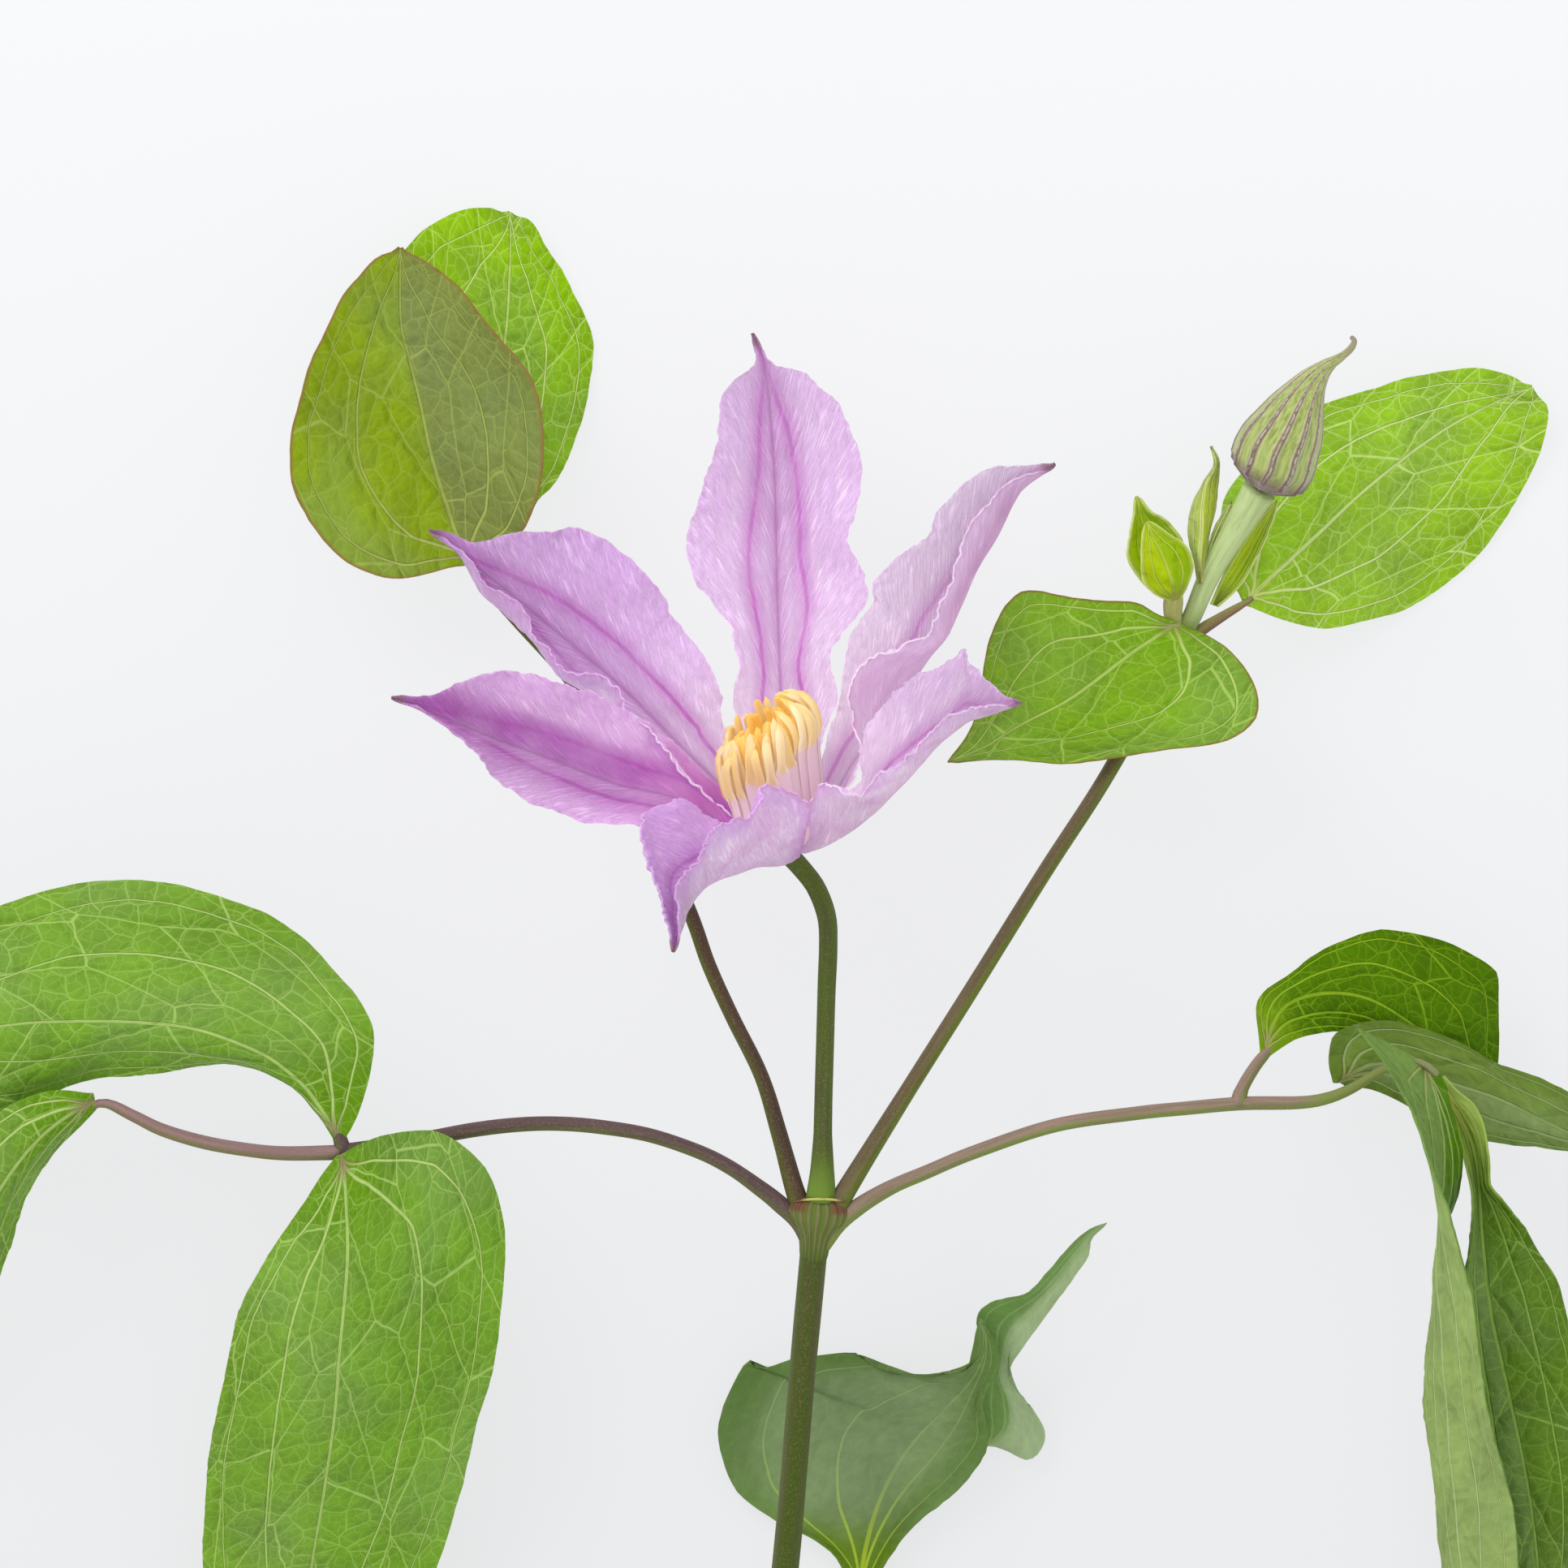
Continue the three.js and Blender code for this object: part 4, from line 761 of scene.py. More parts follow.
blade("leaflet_left_hanging", leaf_mid, [
    [(-58.3, 6.1, 26.5), (-56.6, 7, 26.7), (-53.2, 8.2, 26.9), (-47.9, 8.7, 27), (-44.4, 7.2, 27),
     (-40.9, 3.7, 26.8), (-39.2, -1, 26.2), (-38.7, -6, 25.4), (-39.6, -15.7, 23), (-40.7, -22, 21),
     (-42.4, -27.7, 18.8), (-43.6, -33.4, 16.4), (-46.1, -41.9, 12.6), (-48.6, -48, 9.8), (-53, -56, 6),
     (-60, -63, 2.6), (-65.8, -67.6, 0.4)],
    [(-58.9, 5.9, 26.7), (-58.4, 1.5, 28.2), (-58.1, -6, 29), (-58.5, -12, 28), (-59.2, -19, 25.6),
     (-59.8, -26, 22.4), (-61.2, -35.6, 17), (-62.9, -45.2, 11.4), (-65, -57, 5), (-66.4, -67.6, 0.4)],
    [(-59.5, 5.6, 26.5), (-61.4, 3, 26.6), (-63.4, -0.2, 26.5), (-67.2, -5.6, 26.1), (-71, -12, 24.8),
     (-72.3, -16, 23.6), (-73.3, -21.4, 21.6), (-74.8, -28.2, 18.6), (-75.8, -33.9, 15.8),
     (-76.4, -45.2, 10), (-75.5, -54, 6), (-72, -62, 2.6), (-67.2, -67.4, 0.4)],
], ripple=0.6, seed=3)
blade("leaflet_left_end", leaf_mid, [
    [(-88.9, 11.6, 26), (-91.5, 9, 24.4), (-94.5, 6, 22.6), (-97.5, 1.5, 20.4), (-100, -5, 17.4),
     (-103, -14, 13.6), (-108, -22, 9.6), (-112, -27, 7)],
    [(-89.2, 12.5, 26.6), (-94, 9.5, 28.4), (-98.5, 5, 28), (-103, -2, 24.6), (-106.5, -11, 19.2),
     (-110, -20, 12.6), (-112.4, -27, 7)],
    [(-89.4, 13.3, 26.8), (-95, 13.6, 27.8), (-101, 11, 27), (-108, 5, 24), (-113, -4, 19),
     (-115, -14, 14), (-114.5, -22, 10), (-112.9, -26.8, 7)],
], seed=4)

# %% [markdown]
# The right divided leaf has four leaflets. The upper one is the darkest and folds back to the
# right. One stands out sideways in grey-green shade, one twists as it hangs so that its pale
# underside shows below, and the last hangs behind it.

# %% Right divided leaf
blade("leaflet_right_upper", leaf_dark, [
    [(54.3, 18.2, 22.6), (54.2, 20.5, 21.8), (53.9, 24, 20.4), (55, 25.8, 19.6), (58, 27.8, 18.6),
     (61, 30.2, 17.6), (65, 32.2, 16.4), (69, 33.3, 15), (73, 33, 13.6), (77, 32, 12),
     (80.2, 30.6, 10.8), (82.8, 29, 9.6), (84, 27.6, 8.8), (84.2, 23, 7.8), (84, 16, 7),
     (82.6, 11.8, 7.2)],
    [(54.9, 18.1, 22.8), (56, 22, 22.2), (58.2, 24.5, 21.2), (63, 25.6, 19.4), (68, 24.8, 17.6),
     (73, 22, 15.6), (77.5, 18.4, 12.6), (80.6, 14.6, 9.8), (82.2, 11.6, 7.6)],
    [(55.5, 17.9, 22.8), (59, 20, 21.4), (63, 20.8, 19.6), (67, 20.6, 17.6), (71, 19, 15.6),
     (75, 16.4, 13.4), (79, 13.4, 10.6), (81.8, 11.2, 8.2)],
], seed=5)
blade("leaflet_right_side", leaf_grey, [
    [(63.4, 14.6, 22.4), (62.9, 16.4, 22), (62.9, 18.4, 21.6), (63.6, 20.5, 21), (66, 21.7, 20.4),
     (69, 22.2, 20), (73, 21.7, 19.4), (79, 19.5, 18.6), (83.5, 17, 18), (88, 15.5, 17.4),
     (92.2, 13.5, 16.6), (100, 9, 15), (107, 3, 13), (112, -2.6, 11)],
    [(64, 14.5, 22.2), (68, 16.8, 20), (73, 16.6, 19), (78, 14.5, 18.8), (84, 12.5, 18.4),
     (92.2, 8.5, 16.6), (102, 4, 14.2), (112, -3.1, 11)],
    [(64.8, 14.2, 21.2), (69, 13.4, 18.2), (74, 11, 17), (79, 9, 16.8), (82, 7.5, 16.6),
     (85, 6.8, 16.4), (92.2, 6, 15.6), (100, 3.5, 14), (107, 0, 12.4), (111.6, -3.8, 11)],
], slot="leaf_shaded", seed=6)
blade("leaflet_right_front", leaf_twisted, [
    [(75.6, 16.6, 26), (77, 14.5, 26), (77.6, 12, 25.8), (78.6, 8.5, 25), (79.2, 5, 23.8),
     (78.7, 0.5, 22), (77.6, -2.5, 20.6), (76.5, -5.5, 20), (75.8, -11, 18.8), (75, -20, 16.4),
     (74.8, -25.2, 15), (75.8, -32, 13), (76.6, -41.2, 10.8), (77.6, -47, 9.8), (79.6, -55, 8.8),
     (81.2, -63.6, 8.4)],
    [(74.6, 17, 26.2), (75.8, 13, 27.4), (76.8, 8, 27.8), (76.9, 3, 27.4), (76.4, -2, 27),
     (76.2, -8, 26.2), (76.8, -16, 24.4), (77.8, -28, 20.2), (78.7, -37, 17), (79.5, -45.2, 14),
     (81, -55, 11), (81.8, -63.8, 8.8)],
    [(66.2, 21.3, 29.6), (68, 19, 31), (70.2, 15.8, 32), (73, 10.5, 33), (75, 4.5, 33.2),
     (76.5, 0.8, 33), (77.5, -2, 32.8), (78.5, -5.6, 32.2), (80.4, -12.4, 30.8), (81.6, -21.5, 28),
     (83.3, -29.7, 24.8), (85.3, -37.1, 21.6), (86.3, -45.2, 18), (85.5, -54, 13.6),
     (82.4, -63.8, 9.4)],
], slot="leaf_shaded", seed=7)
blade("leaflet_right_hanging", leaf_behind, [
    [(76.9, 15.4, 23), (78.6, 13.6, 23.4), (80.5, 12, 23.8), (81.6, 10, 24.2), (82.3, 6.9, 24.6),
     (82.5, 3.1, 24.8), (82.6, 1.8, 24.6), (84.2, -0.1, 23.6), (86.7, -3.1, 22.4), (89.4, -7.4, 21),
     (91.1, -10, 20), (92.4, -14.7, 18.5), (95, -25, 15), (97, -37, 11), (96.5, -48, 7.5),
     (94, -58, 3.5), (90.6, -67.6, 0.4)],
    [(76.4, 15.1, 22.4), (78.2, 11.8, 21.4), (80, 8.6, 21.2), (81, 5, 21), (81.5, 0, 20.5),
     (82, -6, 20), (83, -14, 18.5), (85.5, -25, 15.5), (88, -37, 12), (89.5, -50, 7), (90, -67.6, 0.4)],
    [(75.9, 15, 22.2), (76.9, 12.5, 22), (78.2, 10, 22.4), (79.2, 6.3, 23.4), (80, 3.1, 24.4),
     (80.4, 0.3, 24.8), (80.3, -3.1, 24.6), (80, -6.3, 23.6), (79.6, -9, 22.4), (79.6, -14, 20),
     (79.9, -22, 16.6), (80.8, -32, 12.8), (82.6, -44, 9), (85.5, -56, 5.4), (89.2, -67.4, 0.4)],
], seed=8)

# %% [markdown]
# Behind the stem, one leaf rises from the lower node. It lies deeper than the rest, in soft
# grey-green, and its blade curls up towards the right into a pointed end, which is a blade of its
# own here because it faces the other way.

# %% Leaf behind the stem
REAR_RIBS = (
    ((0, 0), (0.1, 0.14), (0.25, 0.26), (0.45, 0.34), (0.7, 0.3), (1, 0.1)),
    ((0, 0), (0.1, 0.5), (0.3, 0.72), (0.6, 0.8), (1, 0.4)),
)

blade("leaf_rear", leaf_rear_finish, [
    [(4.4, -50, 4), (3.4, -47.4, 3.4), (2, -44.6, 2.8), (-0.6, -42.5, 2.4), (-5.8, -40, 2),
     (-9.8, -37, 2), (-11.8, -33.5, 2.4), (-12.6, -29.5, 3.2), (-12.1, -26.6, 4), (-10.7, -23.1, 4.8),
     (-8.9, -20.2, 5.4), (-7.4, -21.2, 5.5), (-5.5, -20.8, 5.6), (-3.7, -20.1, 5.5), (0.3, -19.5, 5.2),
     (4.3, -19.3, 5), (6.4, -20.7, 5.2), (8.7, -21.7, 5.6), (11.9, -22.1, 6.2), (15, -21.8, 7.2),
     (18, -21.3, 8.8), (19, -18.5, 10.8), (19.5, -15.4, 12.4), (19.8, -14.6, 12.8)],
    [(5, -50, 4), (5.2, -47, 2.4), (5.9, -43, 1), (7.4, -38, 0.5), (9.6, -33.5, 0.5),
     (12.4, -29.6, 1.2), (15.2, -26.6, 3.4), (18.2, -23.4, 6.6), (20, -20.4, 9.6), (20.6, -17.6, 11.6),
     (19.9, -14.6, 12.8)],
    [(5.8, -50, 4), (7.4, -46.8, 3.6), (9.2, -43.8, 3.6), (11.8, -40.7, 3.8), (15.2, -38, 4.4),
     (17.6, -35.8, 5.2), (19.7, -33.1, 6.6), (20.8, -30.2, 8), (20.4, -27.3, 9), (20.1, -25.3, 9.6),
     (20.9, -23.3, 10.2), (22.2, -21.1, 11), (22.3, -19.3, 11.6), (21.6, -17.5, 12.2),
     (20.5, -15.9, 12.6), (19.9, -14.6, 12.8)],
], slot="leaf_shaded", ribs=REAR_RIBS, groove=0.06, seed=9)
blade("leaf_rear_lobe", leaf_rear_pale, [
    [(19.4, -30.8, 5), (19.6, -27.6, 7), (19.2, -25.4, 8), (20, -23.4, 8.4), (21, -21.2, 9),
     (20.8, -19, 9.8), (20, -17.2, 10.6), (19.5, -15.6, 11.2), (19.6, -14.2, 11.8), (20.4, -13.3, 12.2),
     (22, -12.5, 12.8), (25.3, -11.8, 13.2), (26.8, -10.6, 13.4), (29, -8, 13.8), (31.4, -5.4, 14.2),
     (33.3, -3.8, 14.4), (35.4, -2.8, 14.6)],
    [(20, -30.8, 3.8), (22, -30, 4.4), (23.6, -28.4, 5.2), (23.6, -25.6, 6.4), (22.4, -22.4, 7.8),
     (22.8, -19.4, 8.8), (23.6, -16.4, 10), (26.6, -13.2, 11.8), (29.6, -9.8, 13), (31.8, -6.8, 13.8),
     (33.6, -4.4, 14.2), (35.5, -2.9, 14.6)],
    [(20.4, -30.9, 2.8), (21.8, -30.9, 2.6), (23.6, -31.6, 2.4), (26, -32.6, 2.6), (27.6, -31.2, 2.8),
     (28, -29, 3.6), (26.6, -26.4, 5), (24.6, -24, 6.6), (23.5, -21.4, 8.2), (26, -17.4, 10.4),
     (28.8, -13.5, 12), (31.6, -9.6, 13.2), (33.3, -7, 13.6), (33.7, -4.8, 14), (35.7, -3, 14.4)],
], slot="leaf_shaded", ribs=REAR_RIBS, node="leaf_rear", thick=0.2, groove=0, pucker=0.1, seed=9.5)

# %% [markdown]
# The two side shoots end in a pair of simple leaves each. They are younger, so their green is
# brighter, and light passes through them.

# %% Leaf pairs on the side shoots
blade("leaf_upper_left_front", leaf_olive, [
    [(-44, 78.3, 16.8), (-45.5, 78.2, 17.2), (-49, 77.2, 18), (-52, 76.8, 18.6), (-55, 77.3, 19),
     (-59, 79.2, 19.6), (-62.5, 83.2, 20), (-65, 88, 20.2), (-65.4, 92, 20.2), (-65.2, 95, 20.2),
     (-64.4, 98, 20), (-62.9, 103.5, 19.8), (-61.2, 107, 19.6), (-59, 111.5, 19.4), (-57, 114, 19.2),
     (-55, 116.2, 19), (-52.2, 117.6, 18.8)],
    [(-43.3, 78.5, 16.8), (-45, 82.5, 16.4), (-46.5, 87, 16), (-48, 92, 16), (-49.4, 98.5, 16.2),
     (-51, 105, 16.8), (-51.8, 109, 17.4), (-51.8, 117.6, 18.6)],
    [(-42.6, 78.9, 16.8), (-40.8, 79.4, 17.6), (-38.5, 80.8, 18.6), (-36.4, 83, 19.6),
     (-35, 86.5, 20.6), (-34.2, 90, 21.2), (-34.1, 95, 21.6), (-34.6, 98.5, 21.6), (-35.8, 101.8, 21.4),
     (-37, 103.5, 21.2), (-39, 105.8, 20.8), (-41, 108.2, 20.4), (-43, 110.8, 20), (-45, 113.2, 19.6),
     (-48, 115.5, 19.2), (-51.2, 117.4, 18.8)],
], seed=10)
blade("leaf_upper_left_back", leaf_vivid, [
    [(-41.9, 79.6, 12.6), (-47, 84, 10.2), (-52, 90, 8.2), (-55.4, 98, 7), (-56.4, 106, 6.4),
     (-55, 113, 6), (-51.5, 117.7, 5.6), (-49, 120.3, 5.2), (-45, 122.5, 4.8), (-41.6, 123, 4.6),
     (-39, 122.6, 4.4)],
    [(-41.2, 79.8, 12.8), (-41, 86, 9.6), (-40.4, 93, 7), (-39.6, 101, 5.2), (-38.8, 109, 4.2),
     (-38.4, 117, 3.8), (-38.4, 122.4, 4.2)],
    [(-40.4, 79.8, 12.6), (-38.4, 81.6, 11), (-36.4, 84, 9), (-34.9, 86.6, 7.2), (-33, 88.6, 5.6),
     (-31, 92.5, 3.8), (-29.2, 98, 1.8), (-28.3, 104, 0.6), (-28.3, 107, 0.4), (-29, 109, 0.4),
     (-30.4, 112, 0.8), (-32, 115.2, 1.6), (-34, 118.2, 2.6), (-35.5, 121, 3.6), (-37.8, 122.4, 4)],
], seed=11)
blade("leaf_upper_right_front", leaf_fresh, [
    [(45.2, 70.8, 17.2), (48, 69.6, 18.4), (51, 67.5, 19.4), (53.5, 64, 20.2), (54.2, 61.2, 20.6),
     (53.5, 59, 20.8), (50, 56.7, 20.8), (43, 55.6, 20.6), (36, 54.6, 20.4), (30, 53.9, 20.2),
     (24, 54.4, 20), (19, 54.3, 19.6), (16, 53.7, 19.4)],
    [(44.5, 71.3, 17.4), (41.6, 69.6, 19.4), (38, 67.2, 21), (31, 62, 22.6), (25, 58.8, 22),
     (20.4, 56, 20.6), (15.8, 54.1, 19.6)],
    [(43.7, 71.6, 17.4), (41.5, 72.4, 18.2), (39, 73.8, 19), (35, 74, 19.8), (31, 74.4, 20.2),
     (27, 75.2, 20.4), (24.4, 74.9, 20.4), (22.4, 72.5, 20.2), (20.8, 68.5, 20), (20, 64.5, 19.8),
     (19, 59, 19.6), (17, 55.7, 19.4), (15.6, 54.6, 19.4)],
], seed=12)
blade("leaf_upper_right_back", leaf_bright, [
    [(52.5, 74.3, 13.4), (51, 76.4, 13), (50, 79, 12.4), (49.8, 82, 11.6), (50, 86, 10.6),
     (51.5, 89, 9.8), (55, 93, 8.8), (59, 96.5, 8), (63, 98.7, 7.4), (69, 100.5, 6.8), (73, 101.8, 6.4),
     (79, 102.8, 6), (82, 103, 5.8), (85.5, 102.2, 5.4), (88, 101, 5)],
    [(52.8, 73.9, 13.4), (56, 77, 12), (61, 81.6, 9.6), (69, 89, 6.6), (77, 95, 4.8), (84, 98.8, 4.2),
     (88.6, 100.6, 4.6)],
    [(53.1, 73.5, 13.2), (54.6, 72.8, 11.8), (57.4, 71.8, 9.6), (61, 70.9, 7), (64, 70.8, 5),
     (69, 72, 2.6), (73, 73.2, 1), (77.5, 76, 0.4), (82, 80, 0.4), (85, 84, 0.6), (87.4, 88, 1),
     (89.5, 92.5, 2), (90.6, 97.5, 3.2), (89.4, 100, 4)],
], seed=13)

# %% [markdown]
# ## Sepals
#
# What looks like petals are six sepals. Three ribs run up the middle of each. From them fine
# veins fan out to the margins, which they crinkle. The fan is a noise that is stretched along the
# curves v - k * sqrt(|u| + 1): near the midrib those run along it, and they fan out to the margin.
# The inner face is lilac and deeper along the ribs. Over its foot a base colour is painted, near
# white on most sepals: painted light where the deep bowl would lie in shade. Both faces also get a
# faint painted glow. The outer face is almost white, silky with hairs, rosy along its middle and
# lilac towards its margins.

# %% Sepal finish
SEPAL_RIBS = (
    ((0, 0.5), (0.1, 0.52), (0.3, 0.36), (0.55, 0.3), (0.8, 0.22), (1, 0.02)),
    ((0, 0.8), (0.2, 0.8), (0.5, 0.7), (0.8, 0.6), (1, 0.3)),
)
SEPAL_BASE_LIGHT = (255, 250, 255)
SEPAL_LIGHT, SEPAL_TINTED = (252, 214, 255), 0.45
SEPAL_HALVES_APART = 90
MARGIN_SILK = (240, 225, 245)
OUTER_MOTTLE = (222, 168, 212)
OUTER_FLUSH = (205, 140, 185)
OUTER_MARGIN = (206, 130, 180)
DRY_TIP = (168, 136, 138)


def sepal_finish(
    name, pale, deep, rib, outer, *, left=0, right=0, base=SEPAL_BASE_LIGHT, reach=0.6, glow=0.5,
):
    """The two materials of a sepal. left and right deepen the colour beside its midrib."""
    materials = []
    for side, tone in (("upper", pale), ("under", outer)):
        f = Finish(f"{name}_{side}", tone)
        u, v, margin = f.known("blade")
        inner, _, s = f.known("ribs")
        flat = f.vector(u, v)
        width = abs(u)
        half = f.ramp(u, -0.05, 0.05, 0, SEPAL_HALVES_APART)
        fan = f.maths("SQRT", width + FAN_START) * -FAN + v
        streak = f.noise(f.vector(fan, width * 0.3 + half), 1.7, 4, 0.65)
        long_streak = f.noise(f.vector(u + half, v * 0.06), 1.4)
        stripe = f.line(u, 0.26) * 0.5 | f.line(inner, 0.24)
        height = f.ramp(streak, 0.35, 0.65, 0, 0.18) + long_streak * 0.12 - stripe * 0.08
        if side == "upper":
            f.paint(f.ramp(streak, 0.38, 0.64, 0, 0.5), deep)
            f.paint(f.ramp(long_streak, 0.4, 0.75, 0, 0.3), deep)
            for beside, depth in ((u * -1, left), (u, right)):
                f.paint(f.ramp(beside, -0.4, 0.8) * f.ramp(beside, 6, 1.5, 0, depth), rib)
            f.paint(f.ramp(width, 0.5, 6, 0.25, 0), deep)
            # The foot of the inner face is painted towards the base colour. The near-white one is painted
            # light, where the bowl would lie in shade.
            f.paint(f.ramp(s, reach, 0.1, 0, 0.8), base)
            near_ribs = f.ramp(abs(inner), 0.2, 2.2, 1, 0) | f.ramp(width, 0.2, 1.8, 0.7, 0)
            f.paint(near_ribs * 0.42, rib)
            f.paint(stripe * f.ramp(s, 0.9, 0.1, 0.5, 0.85), rib)
            f.paint(f.ramp(f.noise(flat, 0.11, 2), 0.35, 0.7, 0, 0.25), pale)
            f.paint(f.ramp(margin, 0.05, 0.4, 0.2, 0), MARGIN_SILK)
            # The glow here is painted light. It lifts the foot of the inner face, which would lie in
            # shade in the bowl.
            sheen, painted_glow = 0.15, f.ramp(s, 0.8, 0.15, 0, 0.31)
        else:
            f.paint(f.ramp(streak, 0.4, 0.66, 0, 0.4), deep)
            f.paint(f.ramp(f.noise(flat, 0.16), 0.42, 0.66, 0, 0.45), OUTER_MOTTLE)
            f.paint(f.ramp(width, 0.5, 6, 0.12, 0), OUTER_FLUSH)
            f.paint(f.ramp(margin, 0.6, 4, 0.4, 0), deep)
            f.paint(f.ramp(margin, 0.1, 0.7, 0.45, 0), OUTER_MARGIN)
            silk = f.noise(f.vector(u * 3, v * 0.5), 3)
            height = silk * 0.1 - height
            # The outer face gets an even painted glow that lifts it where it faces away from the light.
            sheen, painted_glow = 0.35, 0.18
        f.paint(f.ramp(s, 0.96, 0.985, 0, 0.8), DRY_TIP)
        materials.append(f.close(
            0.55, height, through=(glow, SEPAL_TINTED, SEPAL_LIGHT), specular=0.2, sheen=sheen,
            inner=painted_glow))
    return materials


# %% [markdown]
# The six sepals aren't equally deep. The ones in full light are palest, the hooked and the ribbed
# one are a stronger lilac, and the one in shade is deepest beside its midrib. Each finish gives the
# pale and the deep lilac of the inner face, the magenta of its ribs, and the outer face.

# %% The lilacs of this flower
sepal_lit = sepal_finish(
    "sepal_lit", (252, 234, 255), (232, 188, 242), (212, 96, 206), (246, 228, 244))
sepal_curled = sepal_finish(
    "sepal_curled", (255, 253, 255), (242, 228, 247), (218, 146, 212), (238, 206, 232), right=0.1,
    glow=0.55)
sepal_front_finish = sepal_finish(
    "sepal_front", (252, 236, 253), (224, 182, 234), (210, 112, 206), (248, 246, 244))
sepal_hooked = sepal_finish(
    "sepal_hooked", (238, 200, 244), (206, 146, 226), (192, 84, 196), (248, 247, 245),
    base=(238, 204, 244))
sepal_shaded = sepal_finish(
    "sepal_shaded", (250, 222, 252), (228, 168, 236), (184, 62, 184), (244, 222, 240), left=0.3,
    right=0.9, base=(216, 98, 200), reach=0.4)
sepal_ribbed = sepal_finish(
    "sepal_ribbed", (240, 210, 248), (214, 156, 228), (196, 80, 194), (248, 242, 248))

# %% [markdown]
# The flower is a half-open bowl. Sepals are made clockwise from the one that points up the shoot.
# The two in front rise towards the camera, so they are strongly foreshortened and show their
# outer faces. All six are thinner and more crinkled than a leaf, and have finer cells to show it.

# %% The six sepals
SEPAL_SHAPE = {
    "cell": 0.32, "thick": 0.25, "ribs": SEPAL_RIBS, "groove": 0.16, "ruffle": 0.5, "pucker": 0.45,
    "wander": 0.35, "crease": 0.16, "waves": 4,
}


def sepal(name, materials, rails, **more):
    blade(name, materials, rails, slot="sepal", **SEPAL_SHAPE, **more)


sepal("sepal_top", sepal_lit, [
    [(-5.2, 45.7, 27.6), (-8, 53, 26.8), (-10, 59.5, 26.6), (-10.7, 62, 26.8), (-10.4, 65.5, 26.6),
     (-10.3, 67, 26.4), (-11, 70, 26.4), (-12.2, 72.6, 26.2), (-13.8, 74.8, 26), (-15.6, 76.4, 25.8),
     (-16.4, 78.6, 25.4), (-16.5, 81.5, 25), (-15, 86, 24.6), (-14, 89, 24.2), (-13, 92, 23.8),
     (-12.6, 95, 23.2), (-12.3, 98.8, 22.2), (-10.5, 101.2, 21.2), (-8.6, 102.6, 20.4), (-7.8, 104, 20),
     (-8.7, 107, 19.4)],
    [(-4.4, 45.4, 27.3), (-4.6, 55, 25.2), (-4.7, 60, 24.6), (-5, 68, 23.8), (-5.3, 78, 22.8),
     (-5.5, 88, 21.8), (-6, 96, 20.8), (-6.8, 103, 19.8), (-8.3, 107.1, 19.2)],
    [(-3.6, 45.5, 27.6), (-1, 53, 26.2), (0.5, 57.5, 26), (1.8, 61, 26.2), (2, 63.5, 26.4),
     (1.5, 66, 26.4), (1.8, 68, 26.4), (3.6, 71, 26.6), (5.6, 73.6, 26.8), (5.8, 75, 26.8),
     (5.1, 77.4, 26.4), (3.8, 80.5, 25.8), (3.9, 82.6, 25.6), (4.6, 84.6, 25.4), (5, 89, 24.8),
     (4.8, 91.5, 24.4), (3.5, 96, 23.4), (2.4, 98.2, 22.8), (0.5, 100, 22.2), (-2, 102.1, 21.4),
     (-5.6, 103, 20.4), (-6.9, 104.3, 20), (-7.8, 107, 19.4)],
], ripple=0.7, seed=21)
sepal("sepal_upper_right", sepal_curled, [
    [(-2.4, 46.2, 28.4), (0.2, 54.5, 28.6), (1.2, 58, 29.2), (2, 60, 29.8), (2.8, 64, 30.8),
     (3.5, 69, 32), (5, 71.5, 33), (6.7, 73.8, 33.6), (6.4, 75.8, 34), (8, 78, 34.5), (10.5, 80, 35),
     (13.3, 81.6, 35.4), (13.9, 83.4, 35.6), (15, 85.5, 36), (18, 88.5, 36.6), (21.5, 90.3, 37),
     (23, 90.3, 37.2), (26.4, 90.5, 37.5), (28.6, 91, 38)],
    [(-1.5, 45.2, 28.6), (1, 48.5, 28.4), (3.5, 53, 28.8), (7, 58, 29.8), (10.5, 63, 31),
     (13, 66.5, 32), (15, 69.5, 32.6), (17, 73.5, 33.6), (19, 78, 34.6), (21.5, 82, 35.4),
     (23.5, 86, 36), (25, 88, 36.4), (28.8, 90.6, 37.8)],
    [(-0.6, 44.6, 29.4), (2, 48.5, 31), (5, 54, 34), (4.2, 58.8, 36.6), (3.5, 62, 38.4),
     (4.2, 65, 39.6), (5.8, 66.8, 40.4), (8, 67.8, 40.8), (10.4, 68.4, 41), (13.4, 69.6, 41),
     (15, 74, 41), (17, 80, 40.8), (20.5, 85.5, 39.8), (24, 88.8, 38.8), (29, 90.1, 38)],
], ripple=0.4, seed=22)
sepal("sepal_right", sepal_front_finish, [
    [(-0.9, 44.2, 30.8), (2.5, 49.5, 33), (5.2, 52, 36), (5.3, 55.5, 40), (6, 59, 44), (9, 62.4, 49),
     (13, 65, 54), (16, 66.8, 58.4), (17.4, 67.8, 61), (18.2, 66.2, 62.6), (19.5, 64.8, 65),
     (22.4, 62, 69.6), (24, 61.8, 73)],
    [(-1.6, 43.2, 31), (1, 44.2, 34), (5, 46.8, 40), (9, 50.4, 46.5), (13, 54.8, 53.5),
     (15.5, 57.5, 58.5), (18, 59.4, 62.5), (20.5, 60, 66.5), (24.1, 61.2, 73.2)],
    [(-2.8, 43, 31), (-2.1, 45.8, 34), (-1.5, 48.1, 37.4), (-0.7, 50.2, 41), (0, 51.3, 43.6),
     (1.3, 50.9, 46.6), (3.3, 50.4, 50.6), (5, 50.6, 54), (6.5, 51.5, 57), (9, 53.5, 60),
     (12, 56.5, 64), (15, 59, 68), (17.5, 60.4, 70.4), (20.5, 60.9, 72.4), (24, 60.7, 73.8)],
], ripple=0.4, seed=23)
